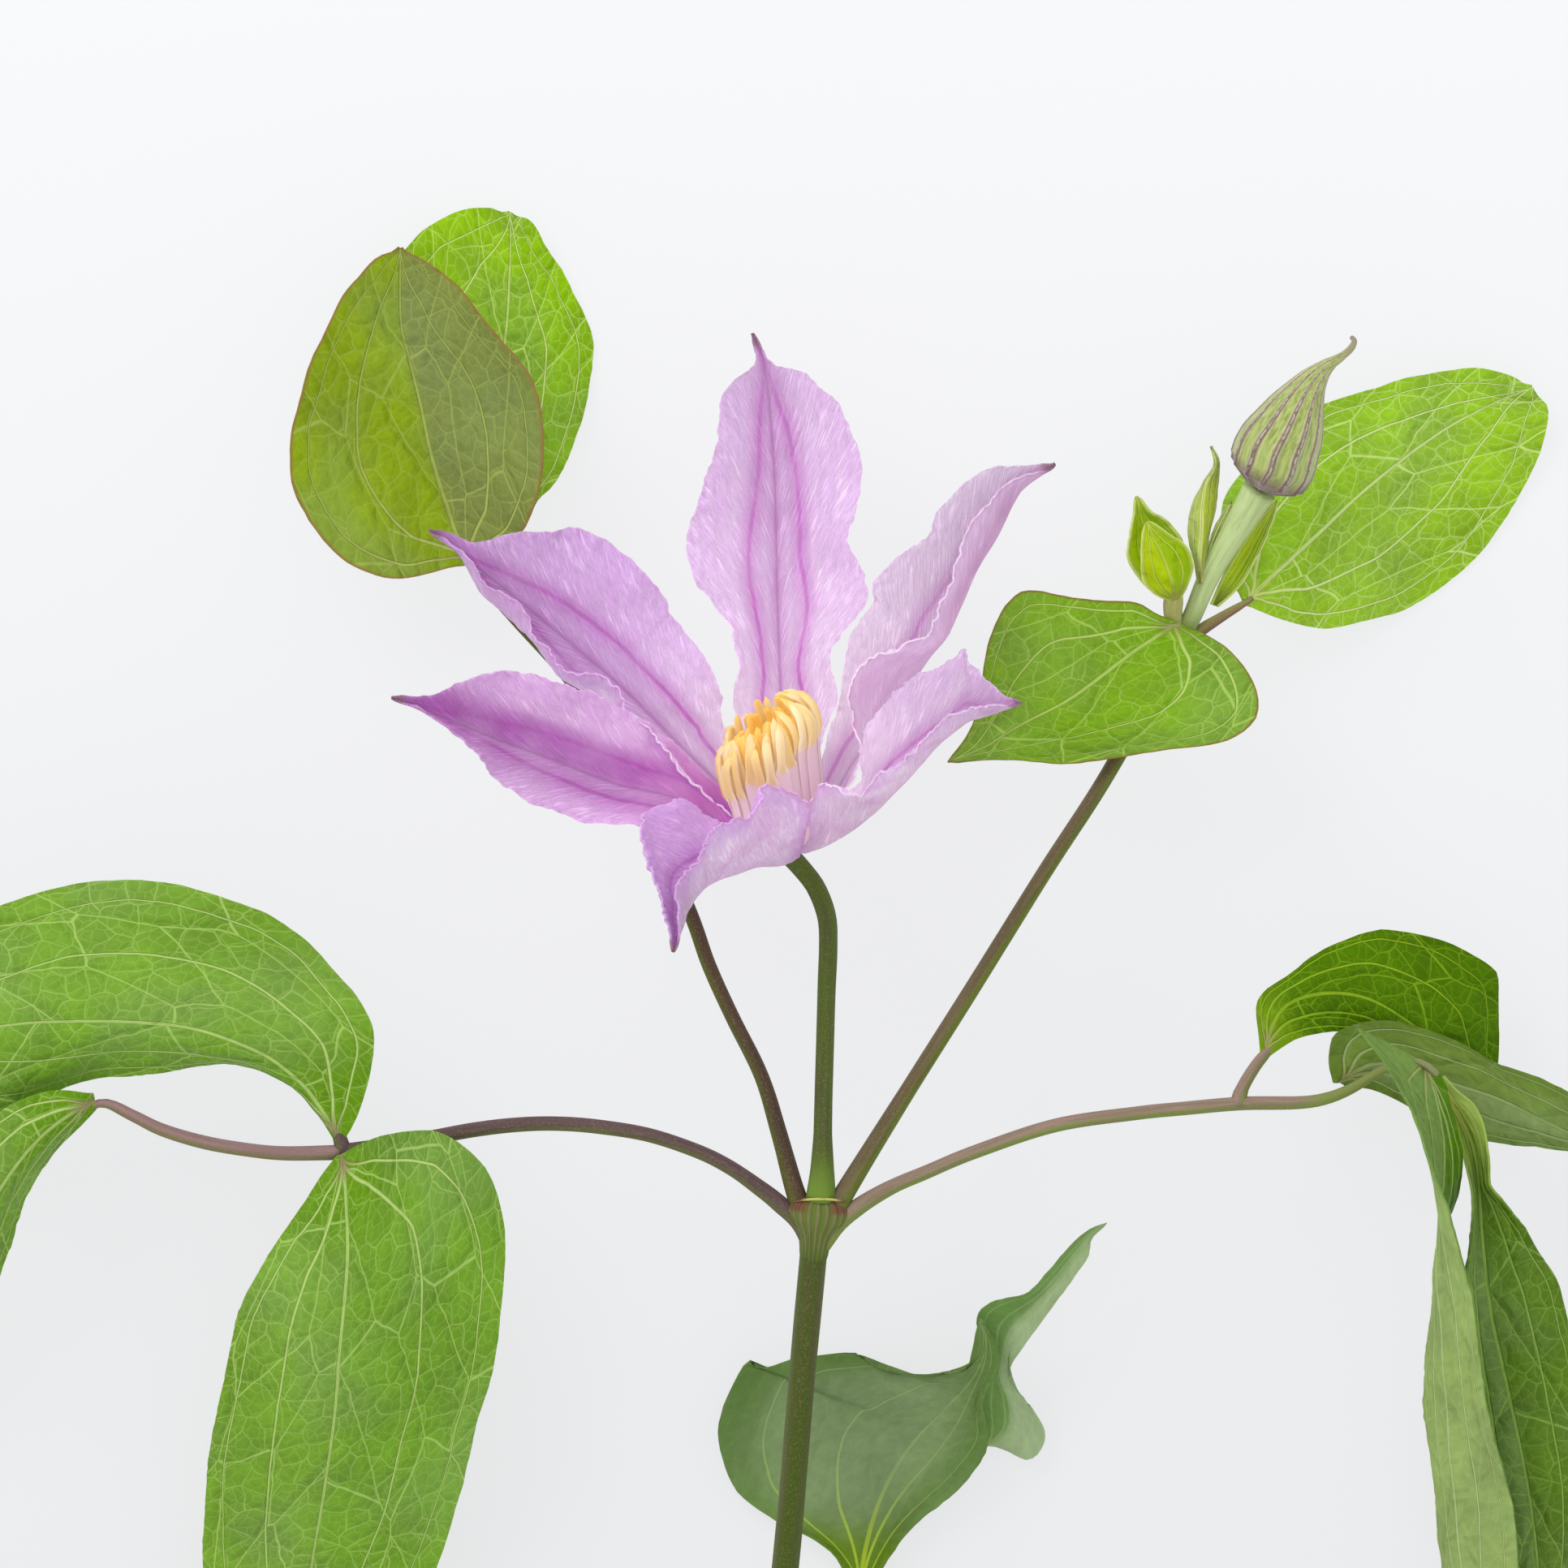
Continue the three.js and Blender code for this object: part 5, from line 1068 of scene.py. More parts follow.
sepal("sepal_front", sepal_hooked, [
    [(-2.5, 42.5, 32), (-1.9, 44.8, 35), (-1.5, 46.9, 38.4), (-1.2, 48.6, 41), (-2, 49.5, 43.6),
     (-3.6, 50.4, 46), (-6.6, 51.1, 49.6), (-7.2, 49.6, 52), (-8.6, 48, 54.5), (-11.5, 46.6, 58),
     (-13, 45, 62), (-15.5, 42, 68.5), (-17.1, 39.4, 74), (-17.2, 37, 78), (-17, 34, 82),
     (-17.2, 31.6, 85)],
    [(-3.9, 41.9, 31.6), (-5, 41.6, 34), (-8, 41.3, 39), (-12, 40, 47), (-15.2, 38.2, 56.5),
     (-16.3, 36.6, 64), (-16.9, 34.7, 72.5), (-17.3, 33, 79.5), (-17.7, 31.4, 85)],
    [(-4.9, 42.2, 31.8), (-9.5, 45.2, 37), (-13, 47.4, 41), (-14.9, 48, 43.6), (-16.8, 49.3, 47),
     (-18.7, 49, 51), (-20.8, 48.5, 55), (-21.6, 47, 58.5), (-22, 45, 62), (-20.7, 41.5, 69),
     (-20.1, 39.4, 72.5), (-18.9, 36, 78), (-18.1, 34, 81.5), (-18.1, 31.8, 85)],
], ripple=0.4, seed=24)
sepal("sepal_left", sepal_shaded, [
    [(-6.7, 42.4, 31.8), (-12, 44.4, 34), (-18, 45, 38), (-21.5, 45.6, 40.4), (-23.5, 46.4, 41.4),
     (-27, 46.7, 43), (-31, 47.7, 44.6), (-35.5, 49, 47), (-39, 52, 49.4), (-41, 54.2, 51),
     (-44.5, 57.5, 54), (-47.5, 60, 56.6), (-49.6, 61.1, 58), (-52, 61.5, 59)],
    [(-7.2, 43.3, 30.9), (-16, 49, 34.2), (-25, 51.5, 39), (-33, 54.5, 44.6), (-41, 57.5, 50.4),
     (-47.5, 60.3, 55.8), (-52, 61.9, 58.8)],
    [(-7, 45, 29.8), (-11.6, 50.4, 30.4), (-15.9, 54.4, 31.8), (-18.6, 56.6, 33.4), (-20.2, 57.8, 35),
     (-21.2, 59, 37), (-23.5, 60.4, 39.6), (-26.5, 61.9, 42.4), (-29.5, 63, 44.8), (-33, 64.2, 47.4),
     (-37, 65, 50), (-40, 65, 52), (-43.5, 64, 54), (-46.5, 62.4, 56), (-49, 61.9, 57.6),
     (-52, 62.4, 59)],
], ripple=0.6, seed=25)
sepal("sepal_upper_left", sepal_ribbed, [
    [(-7.9, 44.4, 30), (-14.6, 50.9, 33.2), (-20.3, 56.6, 36.8), (-23.8, 60.8, 38.8), (-25, 63.6, 39.6),
     (-28, 64.4, 39.2), (-31, 64.9, 38.8), (-32.4, 66.2, 38.4), (-33.7, 68.2, 38), (-35.2, 70.2, 37.4),
     (-35.8, 72.4, 37.2), (-38, 74.2, 37.2), (-41, 75.6, 37.2), (-42.2, 77.6, 37.2), (-43.4, 79.6, 37),
     (-46, 81.5, 36.6), (-47.7, 82.1, 36.2)],
    [(-7.2, 45.2, 28.7), (-15.4, 52, 29.8), (-22.6, 58.4, 32.4), (-27.5, 61.9, 34.6), (-29.6, 63.3, 35),
     (-31.6, 64.8, 35.2), (-33.4, 66.8, 35.2), (-35.4, 69.2, 35), (-37.4, 71.2, 35), (-39.4, 73.2, 35),
     (-41.4, 75, 35), (-42.6, 77, 35), (-44.4, 80, 35.3), (-47.9, 82.3, 35.9)],
    [(-6.8, 45.4, 28.3), (-14, 53, 29), (-19, 58, 30.2), (-25, 64, 32), (-31, 69, 33), (-37, 74, 34),
     (-42, 78, 34.8), (-47.9, 82.6, 35.8)],
    [(-6.4, 45.9, 28.1), (-9.4, 52.6, 28.4), (-12.1, 60, 29.2), (-12.1, 62, 29.4), (-13.5, 66, 30),
     (-16, 69.5, 30.5), (-18.4, 72.4, 31), (-18.9, 74, 31), (-22, 77.5, 31.6), (-24.5, 80, 32),
     (-27, 81.7, 32.3), (-30.5, 82.8, 33), (-33, 82.3, 33.5), (-36.5, 82.4, 34), (-38.5, 82, 34.5),
     (-42.5, 81, 35), (-45, 82, 35.5), (-47.8, 83, 36)],
], midrib=2 / 3, ripple=0.4, seed=26)

# %% [markdown]
# ## Stamens
#
# The stamens stand in rings on a short cone. Each is a flat strap, pale pink below, with a long
# pale yellow anther above. The straps stand side by side like a fence, and the crown is higher on
# its right. A rolled tube whose section is flattened makes both, with two grooves down the anther.

# %% Anther finish
ANTHER = 6.8
POLLEN = (250, 208, 110)
STRAP_FOOT, STRAP_TOP = (240, 206, 224), (248, 232, 236)
STAMEN_LIGHT = (255, 246, 224)


def stamen_finish(name, face, side, inner):
    f = Finish(name, face)
    across, _, _ = f.known("grain")
    s, _, from_tip = f.known("stalk")
    f.paint(f.ramp(abs(across), 0.3, 0.6), side)
    f.paint(f.ramp(from_tip, 1.2, 0.2, 0, 0.4), POLLEN)
    strap = f.mix(f.ramp(s, 0, 0.5), STRAP_FOOT, STRAP_TOP)
    f.paint(f.ramp(from_tip, ANTHER - 0.3, ANTHER + 0.3), strap)
    # inner is the strength of a painted glow, which lifts the shade between the close-set stamens.
    return f.close(0.55, through=(0.4, 0.45, STAMEN_LIGHT), specular=0.2, inner=inner)


# %% [markdown]
# Small random turns and lengths, from a seeded draw, keep the rings from looking machined. The
# draw gives the same numbers each time the script runs, so the flower never changes.

# %% Stamens


def unit(vector):
    return vector / np.linalg.norm(vector)


FLOWER_BASE = np.array([-4.25, 43.6, 29.1])
FLOWER_AXIS = unit(np.array([-0.13, 0.76, 0.64]))
CROWN_AXIS = unit(np.array([-0.14, 0.86, 0.5]))
CROWN_RIGHT = unit(np.array([1.0, 0, 0]) - FLOWER_AXIS[0] * FLOWER_AXIS)
CROWN_BACK = np.cross(CROWN_AXIS, CROWN_RIGHT)
CROWN_TILT = 3.1
FRONT_RISE = 1.5
OUTER_RING = 5.9
INNER_RING = 4.5
# Each ring is given by its count, radius, length of stamen and shift round the cone.
STAMEN_RINGS = (
    (25, 6, 17.6, 0), (21, 5.1, 18.4, 0.5), (16, 4, 18.3, 0.3), (11, 2.7, 17.6, 0), (5, 1.3, 17, 0.5),
)
STAMEN_SIDES, STAMEN_STEPS = 12, 22
STRAP_THICK, ANTHER_THICKER, ANTHER_NARROWER, ANTHER_GROOVE = 0.14, 0.26, 0.44, 0.35
CONE_HEIGHTS = (-0.6, 2, 4.5)
CONE_GIRTH = (1.6, 2.6, 3.4, 3.6, 2.6)
CONE_SIDES, CONE_STEPS = 24, 8


def stamen_section(start):
    """The section of a flat strap that thickens into a grooved anther with a blunt tip."""
    def section(turn, s):
        anther = min(max((s - start) / 0.05, 0), 1)
        end = min(1, (1.001 - s) / 0.06) ** 0.5
        wide = (1 - ANTHER_NARROWER * anther) * math.cos(turn)
        high = (STRAP_THICK + ANTHER_THICKER * anther) * math.sin(turn)
        high = high * (1 + ANTHER_GROOVE * anther * math.cos(4 * turn))
        return wide * end, high * end
    return section


def stamen_route(draw, turn, ring, length):
    """A stamen's route from the cone up, and the direction that its flat face looks in."""
    out = math.cos(turn) * CROWN_RIGHT + math.sin(turn) * CROWN_BACK
    rise = CROWN_TILT * math.cos(turn) + FRONT_RISE * max(-math.sin(turn), 0)
    tall = length + rise * ring / OUTER_RING + draw.uniform(-0.9, 0.9)
    wide = ring * draw.uniform(0.95, 1.05)
    right = max(math.cos(turn), 0)
    lean = draw.uniform(0.8, 1.05) - 0.3 * right
    drift = draw.uniform(-1, 1) * np.cross(CROWN_AXIS, out)
    stations = (
        (0.4, 0.8, 0), (0.84, 4.0, 0), (0.98, tall - ANTHER, 0.1), (1.04, tall - 0.6 * ANTHER, 0.3),
        (1.05 - 0.1 * right, tall - 0.2 * ANTHER, 0.7), (lean, tall, 1))
    route = [FLOWER_BASE + reach * wide * out + height * CROWN_AXIS + share * drift
             for reach, height, share in stations]
    return route, out


def stamens():
    draw = random.Random(5)
    bm = bmesh.new()
    known = point_layer(bm, "stalk")
    for count, ring, length, shift in STAMEN_RINGS:
        for k in range(count):
            turn = 2 * math.pi * (k + shift + 0.2 * draw.uniform(-1, 1)) / count
            route, out = stamen_route(draw, turn, ring, length)
            size = lengths(evenly(route, ROUTE_STEPS))[-1]
            section = stamen_section(1 - ANTHER / size)
            verts, faces = roll(bm, route, (1, 1), STAMEN_SIDES, STAMEN_STEPS, section, up=out)
            for vert in verts:
                s = vert[known][0]
                vert[known] = (s, 0, (1 - s) * size)
            shade = 2 if ring < INNER_RING else draw.choice((0, 0, 1))
            for face in faces:
                face.material_index = shade
    cone = [FLOWER_BASE + height * CROWN_AXIS for height in CONE_HEIGHTS]
    verts, _ = roll(bm, cone, CONE_GIRTH, CONE_SIDES, CONE_STEPS)
    for vert in verts:
        vert[known] = (0.3, 0, 2 * ANTHER)
    # The inner rings are a deeper yellow and get a stronger painted glow, which stands in for light
    # scattered between the stamens.
    finishes = [
        stamen_finish("anther_cream", (252, 236, 184), (253, 248, 230), 0.06),
        stamen_finish("anther_yellow", (252, 230, 162), (253, 242, 208), 0.06),
        stamen_finish("anther_inner", (250, 216, 122), (252, 232, 164), 0.14),
    ]
    finish_piece("stamens", bm, finishes, "stamens")


stamens()

# %% [markdown]
# ## Stems and stalks
#
# The stem is green with purple-brown streaks in its shallow grooves, and covered in a down so
# fine that it only softens the colour. The side shoots and leaf stalks are purple-brown on the
# side that meets the light and green below, so their colour follows the turn round the stalk.

# %% Stalk finish
DOWN = (170, 160, 130)


def stalk_finish(name, lit, shaded, streak, *, start=None, end=None, turned=0):
    """A stalk's material. start colours its first mm, end is a colour and where it begins in mm."""
    f = Finish(name, shaded)
    x, y, along = f.known("grain")
    _, across, height = f.known("stalk")
    lines = f.noise(f.vector(x, y, along * 0.05), 1.6, 3, 0.6)
    down = f.noise(f.vector(x, y, along), 5, 2)
    f.paint(f.ramp(across * turned + height * 0.3, -0.5, 0.6), lit)
    f.paint(f.ramp(lines, 0.42, 0.66, 0, 0.7), streak)
    f.paint(f.ramp(down, 0.5, 0.8, 0, 0.2), DOWN)
    if start:
        f.paint(f.ramp(along, 7, 1, 0, 0.9), start)
    if end:
        colour, begins = end
        f.paint(f.ramp(along, begins, begins + 5, 0, 0.8), colour)
    return f.close(0.55, lines * 0.16 + down * 0.06, specular=0.15, sheen=0.05)


stem_finish = stalk_finish("stem_green", (52, 68, 0), (80, 92, 28), (72, 68, 36))
flower_stalk_finish = stalk_finish(
    "stalk_green", (70, 86, 8), (74, 84, 46), (68, 66, 42), start=(98, 124, 40))
shoot_left_finish = stalk_finish("shoot_left", (74, 54, 40), (74, 78, 16), (60, 46, 34), turned=0.9)
shoot_right_finish = stalk_finish(
    "shoot_right", (102, 88, 62), (88, 104, 20), (84, 72, 46), turned=-0.9)
petiole_left_finish = stalk_finish(
    "petiole_left", (86, 66, 66), (86, 88, 46), (72, 54, 54), turned=1)
petiole_pink_finish = stalk_finish(
    "petiole_pink", (134, 106, 104), (110, 106, 62), (118, 92, 90), turned=1)
petiole_right_finish = stalk_finish(
    "petiole_right", (138, 116, 102), (104, 124, 46), (114, 98, 78), turned=-1,
    end=((112, 128, 56), 62))
knob_finish = stalk_finish("knob", (122, 122, 78), (108, 92, 80), (130, 140, 90))
young_petiole_finish = stalk_finish(
    "young_petiole", (142, 140, 78), (116, 84, 70), (120, 96, 72), turned=-1)

# %% [markdown]
# The main stem flares, wide and flat, into the upper node, where the leaf stalks come out of its
# corners. The flare is a tube whose section grows fanning ridges and widens into a trumpet. A thin
# pale ridge lies across its top.

# %% Upper node
NODE_RIDGES = 20
NODE_GREEN, NODE_CREST, NODE_FLECK = (84, 104, 34), (124, 104, 84), (92, 98, 40)
NODE_FOOT, NODE_RIM = (78, 96, 28), (104, 54, 44)
RIDGE_PALE, RIDGE_BROWN = (172, 170, 92), (112, 74, 52)


def node_section(turn, s):
    """Fanning ridges on a section that widens into a flat trumpet."""
    fan = 1 + 0.035 * math.cos(NODE_RIDGES * turn)
    flat = 1 - 0.42 * min(max((s - 0.3) / 0.5, 0), 1)
    return math.cos(turn) * fan, math.sin(turn) * fan * flat


def ridge_wave(f, across, height, count):
    """A wave from -1 to 1 whose crests are the ridges round a section."""
    return f.maths("COSINE", f.maths("ARCTAN2", height, across) * count)


def node_finish():
    f = Finish("node", NODE_GREEN)
    x, y, along = f.known("grain")
    s, across, height = f.known("stalk")
    crest = ridge_wave(f, across, height, NODE_RIDGES)
    fine = f.noise(f.vector(x, y, along * 0.1), 1.4)
    f.paint(f.ramp(crest, -0.6, 0.9, 0, 0.55), NODE_CREST)
    f.paint(f.ramp(fine, 0.4, 0.7, 0, 0.6), NODE_FLECK)
    f.paint(f.ramp(s, 0.3, 0, 0, 0.9), NODE_FOOT)
    f.paint(f.ramp(s, 0.74, 0.84, 0, 0.8) * f.ramp(abs(across), 0.3, 0.6), NODE_RIM)
    return f.close(0.5, crest * 0.1 + fine * 0.15, specular=0.15, sheen=0.05)


def ridge_finish():
    f = Finish("node_ridge", RIDGE_PALE)
    s, _, _ = f.known("stalk")
    f.paint(f.ramp(abs(s - 0.52), 0.2, 0.4), RIDGE_BROWN)
    return f.close(0.6, specular=0.15)


stalks("node_flare", "stem_main", node_finish(), [
    ([(-0.8, -7.4, 23.8), (-0.5, -4, 24.4), (-0.25, -2, 24.8), (-0.1, -0.2, 25.1), (-0.05, 0.5, 25.2)],
     (1.5, 1.72, 1.8, 1.95, 2.3, 2.9, 3.5, 3.8, 3.5, 2.2)),
], section=node_section, sides=72, steps=30)
stalks("node_ridge", "stem_main", ridge_finish(), [
    ([(-3.3, -0.1, 26), (-1.8, 0.2, 26.7), (0, 0.3, 27), (1.8, 0.2, 26.7), (3.4, -0.1, 26)],
     (0.08, 0.15, 0.17, 0.15, 0.08)),
], sides=12, steps=36)

# %% [markdown]
# The stem, the shoots and the leaf stalks are rolled along their routes. The widths are given at
# equal steps, so a stalk can swell where another one joins it.

# %% Stem, stalks and shoots
stalks("stem_main", "stem_main", stem_finish, [
    ([(-8.8, -91, 1.75), (-7.9, -80, 4.4), (-7.2, -72, 6.6), (-4.2, -45.2, 13.4), (-2.2, -22, 19.6),
      (-0.9, -8, 23.6), (-0.2, 0, 25)],
     (1.8, 1.8, 2, 1.75, 1.7, 1.65, 1.6, 1.6, 1.55, 1.55, 1.55, 1.6, 1.6, 1.5)),
    ([(-8, -74.5, 6.2), (-10.5, -73.5, 6.8), (-13, -71.5, 7.6)],
     (1.5, 1.1, 1.1)),
], ribbed(6, 0.05))
stalks("flower_stalk", "flower_stalk", flower_stalk_finish, [
    ([(0.05, 0.1, 25.2), (0.1, 1.2, 25.4), (0.25, 4, 25.6), (0.4, 11.9, 26), (0.6, 19, 26.4),
      (0.8, 26.1, 26.7), (1, 31.5, 26.9), (0.8, 35.1, 27), (-0.5, 38.6, 27.2), (-2.3, 41, 27.3),
      (-3.5, 42.3, 28), (-4.1, 42.95, 28.5)],
     (1.9, 1.45, 1.15, 1.12, 1.12, 1.12, 1.12, 1.15, 1.15, 1.2, 1.2, 1.25)),
], ribbed(5, 0.04))
stalks("side_shoot_left", "side_shoot_left", shoot_left_finish, [
    ([(-1.6, -2.2, 25), (-3, 1.15, 24.9), (-5, 8.3, 23.6), (-7.2, 15.4, 22.2), (-10.8, 22.7, 20.6),
      (-13.7, 29.1, 19.3), (-16.2, 36, 18.2), (-22.2, 49.5, 16.8), (-29.5, 62.5, 16), (-37, 71.2, 15.8),
      (-42.1, 77.2, 15.8)],
     (1.3, 1.05, 0.92, 0.9, 0.9, 0.9, 0.9, 0.88, 0.85, 0.8, 1)),
    ([(-41.9, 76.9, 15.9), (-42.5, 77.6, 16.3), (-43, 78.2, 16.6)],
     (0.8, 0.8, 0.6)),
    ([(-41.9, 76.9, 15.7), (-41.8, 77.9, 14.6), (-41.4, 79.1, 13.3)],
     (0.9, 0.8, 0.6)),
])
stalks("side_shoot_right", "side_shoot_right", shoot_right_finish, [
    ([(1.3, -2, 25), (2.95, 0.85, 24.8), (6.8, 7.1, 23.8), (12.4, 16, 22.4), (18.8, 26.1, 20.9),
      (27.8, 40.5, 18.4), (36.2, 53.6, 16.2), (44.3, 69.2, 14.6)],
     (1.35, 1.15, 1.02, 1, 0.98, 0.96, 0.95, 0.95, 1.05, 1.5)),
])
stalks("side_shoot_right_stalk", "side_shoot_right", young_petiole_finish, [
    ([(44.2, 68, 14.5), (47, 70.3, 14.4), (49, 71.6, 14.2), (50.8, 72.7, 13.8), (52, 73.4, 13.6),
      (53.6, 74.4, 13)],
     (0.85, 0.85, 0.75, 0.62, 0.5, 0.3)),
])
stalks("leaf_stalk_left", "leaf_stalk_left", petiole_left_finish, [
    ([(-1.1, -5.6, 24.2), (-2.6, -2.6, 24.6), (-5.1, -0.2, 24.6), (-7.4, 1.6, 24.4), (-11, 4.1, 24.1),
      (-15, 6.1, 23.7), (-21, 8.1, 23.2), (-27, 9.1, 22.8), (-32, 9.5, 22.6), (-37, 9.4, 22.6),
      (-43, 8.7, 22.8), (-51, 7.2, 23.8), (-59, 6, 25)],
     (1, 1.1, 0.92, 0.88, 0.88, 0.9, 0.9, 0.92, 0.92, 0.95, 1.05)),
    ([(-58.8, 6, 25), (-58.9, 7, 25.1), (-59.2, 8, 25.2), (-59.5, 9, 25.2)],
     (1, 0.95, 0.85, 0.6)),
    ([(-59, 6.2, 25), (-58.5, 4.8, 25.2), (-58.2, 3, 25.8), (-58.15, 0.6, 27)],
     (0.95, 0.65, 0.5, 0.3)),
])
stalks("leaf_stalk_left_end", "leaf_stalk_left", petiole_pink_finish, [
    ([(-59, 6, 25), (-66, 5.9, 25.2), (-71, 6.4, 25.4), (-76, 7.3, 25.6), (-81, 8.8, 25.8),
      (-84.5, 10.5, 26), (-88.2, 12.1, 25.8), (-91.3, 10.9, 26.2)],
     (0.95, 0.9, 0.85, 0.85, 0.8, 0.7, 0.35)),
])
stalks("leaf_stalk_right", "leaf_stalk_right", petiole_right_finish, [
    ([(0.3, -5.6, 24.2), (2.4, -2.7, 24.6), (5.2, -0.4, 24.6), (9, 1.8, 24.5), (13, 3.5, 24.4),
      (19, 6, 24.1), (29, 9.3, 23.7), (39, 10.8, 23.4), (45, 11.4, 23.2), (52, 12, 23),
      (59, 12.1, 22.8), (62.4, 12.6, 22.8), (65.5, 13.8, 22.6), (69.2, 16, 22.8), (72.6, 17.6, 25)],
     (1, 1.1, 0.9, 0.85, 0.85, 0.85, 0.85, 0.85, 0.85, 0.85, 0.85, 0.75, 0.6, 0.5)),
    ([(51.6, 11.8, 22.9), (52, 13.6, 23), (53.2, 15.8, 23), (54.6, 17.7, 22.6), (56.2, 19.2, 21.8)],
     (1.1, 0.8, 0.75, 0.7, 0.4)),
])
stalks("leaf_stalk_right_knob", "leaf_stalk_right", knob_finish, [
    ([(72.6, 17.5, 26.6), (74, 17.1, 26.9), (75.4, 16.2, 26.4), (76.4, 14.8, 25), (77, 13.4, 24)],
     (0.3, 0.45, 0.5, 0.45, 0.3)),
])
stalks("leaf_stalk_rear", "leaf_stalk_rear", stem_finish, [
    ([(-4.65, -73.3, 5.3), (-1.5, -70.5, 4.6), (2.2, -64, 4), (4.2, -56, 4), (5, -49.6, 3.8)],
     (1.1, 0.9, 0.9, 0.9, 0.85)),
])

# %% [markdown]
# ## Bud and young leaves
#
# The bud is a closed flower: the edges and midribs of its sepals show as a dozen raised
# purple-brown ribs on pale green, running together into a hooked tip. Rolling a tube whose section
# has twelve narrow ridges makes them, and the finish colours the crest of each one and paints a
# silvery line along its top, partly the bud's silky hairs and partly a painted highlight.

# %% Bud
BUD_RIBS = 12
BUD_PALE, BUD_STREAK, BUD_FLANK = (158, 170, 94), (118, 134, 56), (190, 178, 158)
BUD_CREST, BUD_CREST_FOOT, BUD_HAIR_SHEEN = (108, 74, 74), (84, 46, 56), (198, 186, 178)
BUD_FOOT, BUD_TIP = (92, 52, 64), (128, 104, 100)


def bud_finish():
    f = Finish("bud", BUD_PALE)
    x, y, along = f.known("grain")
    s, across, height = f.known("stalk")
    wave = ridge_wave(f, across, height, BUD_RIBS)
    lines = f.noise(f.vector(x, y, along * 0.05), 2.2, 3, 0.6)
    silk = f.noise(f.vector(x * 2, y * 2, along), 1.8, 2)
    f.paint(f.ramp(lines, 0.35, 0.7), BUD_STREAK)
    f.paint(f.ramp(wave, -0.4, 0.5, 0, 0.6) * f.ramp(silk, 0.35, 0.65, 0.2, 0.9), BUD_FLANK)
    crest_colour = f.mix(f.ramp(s, 0.5, 0.1), BUD_CREST, BUD_CREST_FOOT)
    f.paint(f.ramp(wave, 0.4, 0.85, 0, 0.95) * f.ramp(lines, 0.3, 0.6, 1, 0.75), crest_colour)
    # The top of each crest is painted silvery, both for the silky hairs and as a painted highlight.
    f.paint(f.ramp(wave, 0.9, 1, 0, 0.6) * f.ramp(silk, 0.35, 0.6), BUD_HAIR_SHEEN)
    f.paint(f.ramp(s, 0.17, 0.03, 0, 0.85), BUD_FOOT)
    f.paint(f.ramp(s, 0.82, 1, 0, 0.7), BUD_TIP)
    return f.close(0.55, lines * 0.2 + silk * 0.08, sheen=0.4)


def bud_section(turn, s):
    """Narrow ridges that stand out most at the bud's foot."""
    ridge = (0.5 + 0.5 * math.cos(BUD_RIBS * turn)) ** 3
    crest = 1 + (0.07 + 0.12 * math.exp(-((s / 0.09) ** 2))) * ridge
    return math.cos(turn) * crest, math.sin(turn) * crest


stalks("bud", "bud", bud_finish(), [
    ([(54.45, 88.15, 21.7), (55.6, 90.4, 22.4), (56.4, 92.6, 23), (57.6, 95, 23.6), (59, 98, 24.2),
      (60.6, 100.8, 24.6), (62.4, 102.8, 24.8), (64.2, 104, 24.8), (65.4, 105, 24.6), (65.9, 106, 24.2),
      (65.5, 106.5, 23.9)],
     (1.9, 4.4, 5, 5.05, 4.85, 4.5, 4.05, 3.5, 2.85, 2.2, 1.6, 1.05, 0.65, 0.45, 0.4, 0.25)),
], section=bud_section, sides=12 * BUD_RIBS, steps=90)

# %% [markdown]
# Two tufts of young leaves stand at the bud's foot. They are folded like hands, yellow-green and
# thin enough to glow, with paler edges.

# %% Young leaves
YOUNG_FOOT = ((170, 168, 90), 4)
young_finish = leaf_finish(
    "young", (204, 224, 16), (172, 206, 0), (214, 228, 90), (196, 214, 60), rim=(226, 230, 150),
    net=0.2, glow=0.45, foot=YOUNG_FOOT)
young_shaded_finish = leaf_finish(
    "young_shaded", (186, 204, 104), (210, 222, 60), (216, 226, 140), (160, 186, 90), net=0.2,
    rim=(196, 200, 140), foot=YOUNG_FOOT)
young_stalk_finish = stalk_finish("young_stalk", (168, 170, 96), (150, 150, 90), (140, 116, 92))
bud_stalk_finish = stalk_finish(
    "bud_stalk", (182, 200, 142), (148, 168, 96), (152, 164, 108), start=(122, 134, 66))


def young_leaf(name, node, material, rails, seed):
    """A small leaf of the tufts, with less relief than a grown one."""
    blade(name, material, rails, slot="young_leaf", node=node, cell=0.3, ruffle=0.05, groove=0.1,
          seed=seed)


young_leaf("young_leaf_outer", "young_leaves_left", young_finish, [
    [(43.2, 73.9, 17.4), (40.4, 75.8, 18), (38.9, 77.6, 18.4), (38.1, 79.4, 18.6), (38.3, 82, 18.8),
     (38.8, 84.6, 19), (38.9, 86.8, 19)],
    [(43.8, 74.2, 16.4), (42, 77.4, 16.2), (40.8, 80.4, 16.6), (40, 83.4, 17.6), (39.2, 86.9, 19)],
    [(44.4, 74.6, 17.2), (45, 78, 18), (44.8, 81.4, 18.6), (43, 83.8, 18.8), (41, 85, 19),
     (39.6, 86.8, 19)],
], seed=31)
young_leaf("young_leaf_inner", "young_leaves_left", young_finish, [
    [(43.2, 74, 18.8), (41.2, 74.9, 20), (39.8, 76.6, 20.8), (39.6, 79.6, 21.2), (39.8, 82.4, 21),
     (40.2, 83.6, 20.8)],
    [(43.9, 74.2, 19.4), (43.4, 76.6, 22.2), (42.4, 79.2, 23), (41.2, 81.8, 22.2), (40.4, 83.8, 21)],
    [(44.7, 74.4, 18.8), (45.6, 76.4, 20), (46.1, 78.6, 20.8), (45.2, 80.8, 21.2), (43, 82.4, 21.2),
     (40.8, 83.9, 20.8)],
], seed=32)
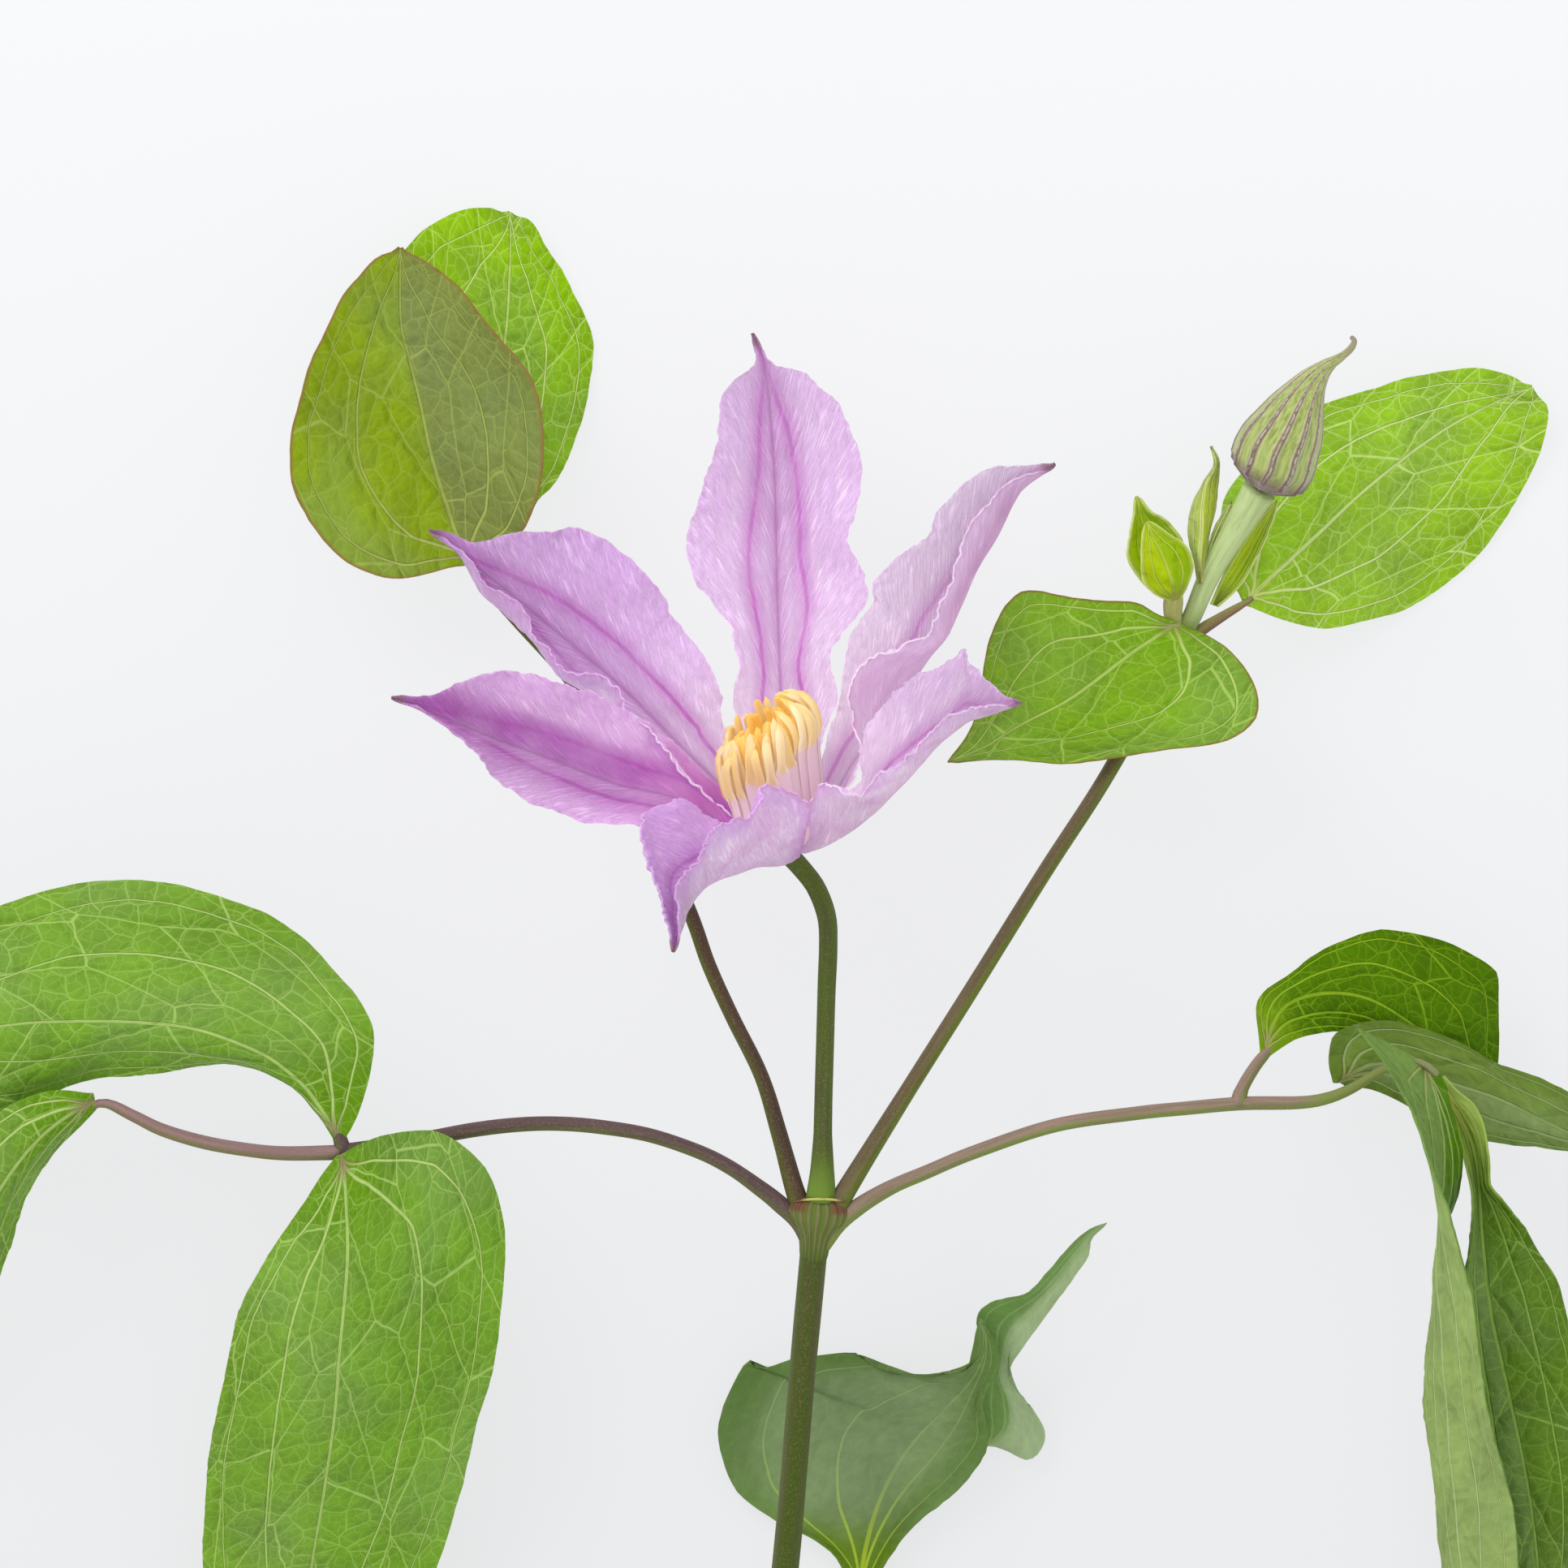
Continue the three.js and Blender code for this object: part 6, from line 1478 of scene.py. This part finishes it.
stalks("young_leaf_foot", "young_leaves_left", young_stalk_finish, [
    ([(44, 70.4, 15), (43.7, 72.4, 16), (43.7, 73.8, 17.2), (43.8, 75, 18.6)],
     (1, 1.15, 1.25, 1.1)),
])
young_leaf("young_leaf_folded", "young_leaves_middle", young_shaded_finish, [
    [(46.7, 76.2, 17.4), (46.4, 78.8, 17.8), (45.7, 81.3, 18.2), (45.6, 83.8, 18.6), (46.2, 86.3, 19),
     (47.4, 88.6, 19.4), (48.7, 90.8, 19.8), (48.3, 93.1, 20.2)],
    [(47, 76.2, 18), (46.9, 79.2, 19.4), (47.1, 82.4, 20.4), (47.2, 85.6, 20.8), (47.7, 88.4, 20.8),
     (48.8, 90.6, 20.6), (48.3, 93.1, 20.3)],
    [(47.4, 76.4, 17.6), (47.6, 79.2, 17.8), (48.2, 83, 18.4), (48.9, 85.8, 19), (49.3, 89.6, 19.6),
     (49.2, 91.6, 20), (48.4, 93.1, 20.2)],
], seed=33)
young_leaf("young_leaf_narrow", "young_leaves_middle", young_shaded_finish, [
    [(46.6, 75.6, 16.8), (47.3, 79, 17.6), (48.4, 82.4, 18.6), (49.4, 84.4, 19.2), (50.7, 86.2, 19.7)],
    [(47.2, 75.4, 17), (48.2, 79.2, 18), (49.4, 82.6, 19), (50.2, 84.6, 19.5), (50.8, 86.2, 19.8)],
    [(47.8, 75.4, 16.8), (49.2, 79.6, 17.6), (50.4, 82.8, 18.4), (50.9, 84.8, 19.1),
     (50.9, 86.2, 19.7)],
], seed=34)
young_leaf("young_leaf_right", "young_leaves_middle", young_finish, [
    [(48.4, 73.6, 15.4), (50.3, 77.6, 16.2), (51.7, 80.1, 16.8), (53.5, 82.9, 17.4), (55.4, 85.3, 18),
     (56.4, 86.4, 18.4)],
    [(48.8, 73.5, 14.4), (51.2, 76.8, 15.2), (52.8, 79.4, 16), (54.4, 82.4, 17), (55.8, 85, 17.8),
     (56.5, 86.4, 18.4)],
    [(49.3, 73.4, 15.2), (51.8, 75.8, 16), (53.3, 78.2, 16.6), (54.8, 81, 17.2), (56, 84, 17.8),
     (56.6, 86.3, 18.4)],
], seed=35)
stalks("bud_stalk", "bud_stalk", bud_stalk_finish, [
    ([(44.6, 69.4, 14.6), (46.05, 72.2, 15.5), (47.6, 76, 16.4), (48.8, 78.4, 17.2), (51.4, 83, 19.2),
      (53.2, 86, 20.6), (54.2, 87.7, 21.4)],
     (1.1, 1.2, 1.3, 1.4, 1.6, 1.85, 2.15)),
], ribbed(5, 0.04))
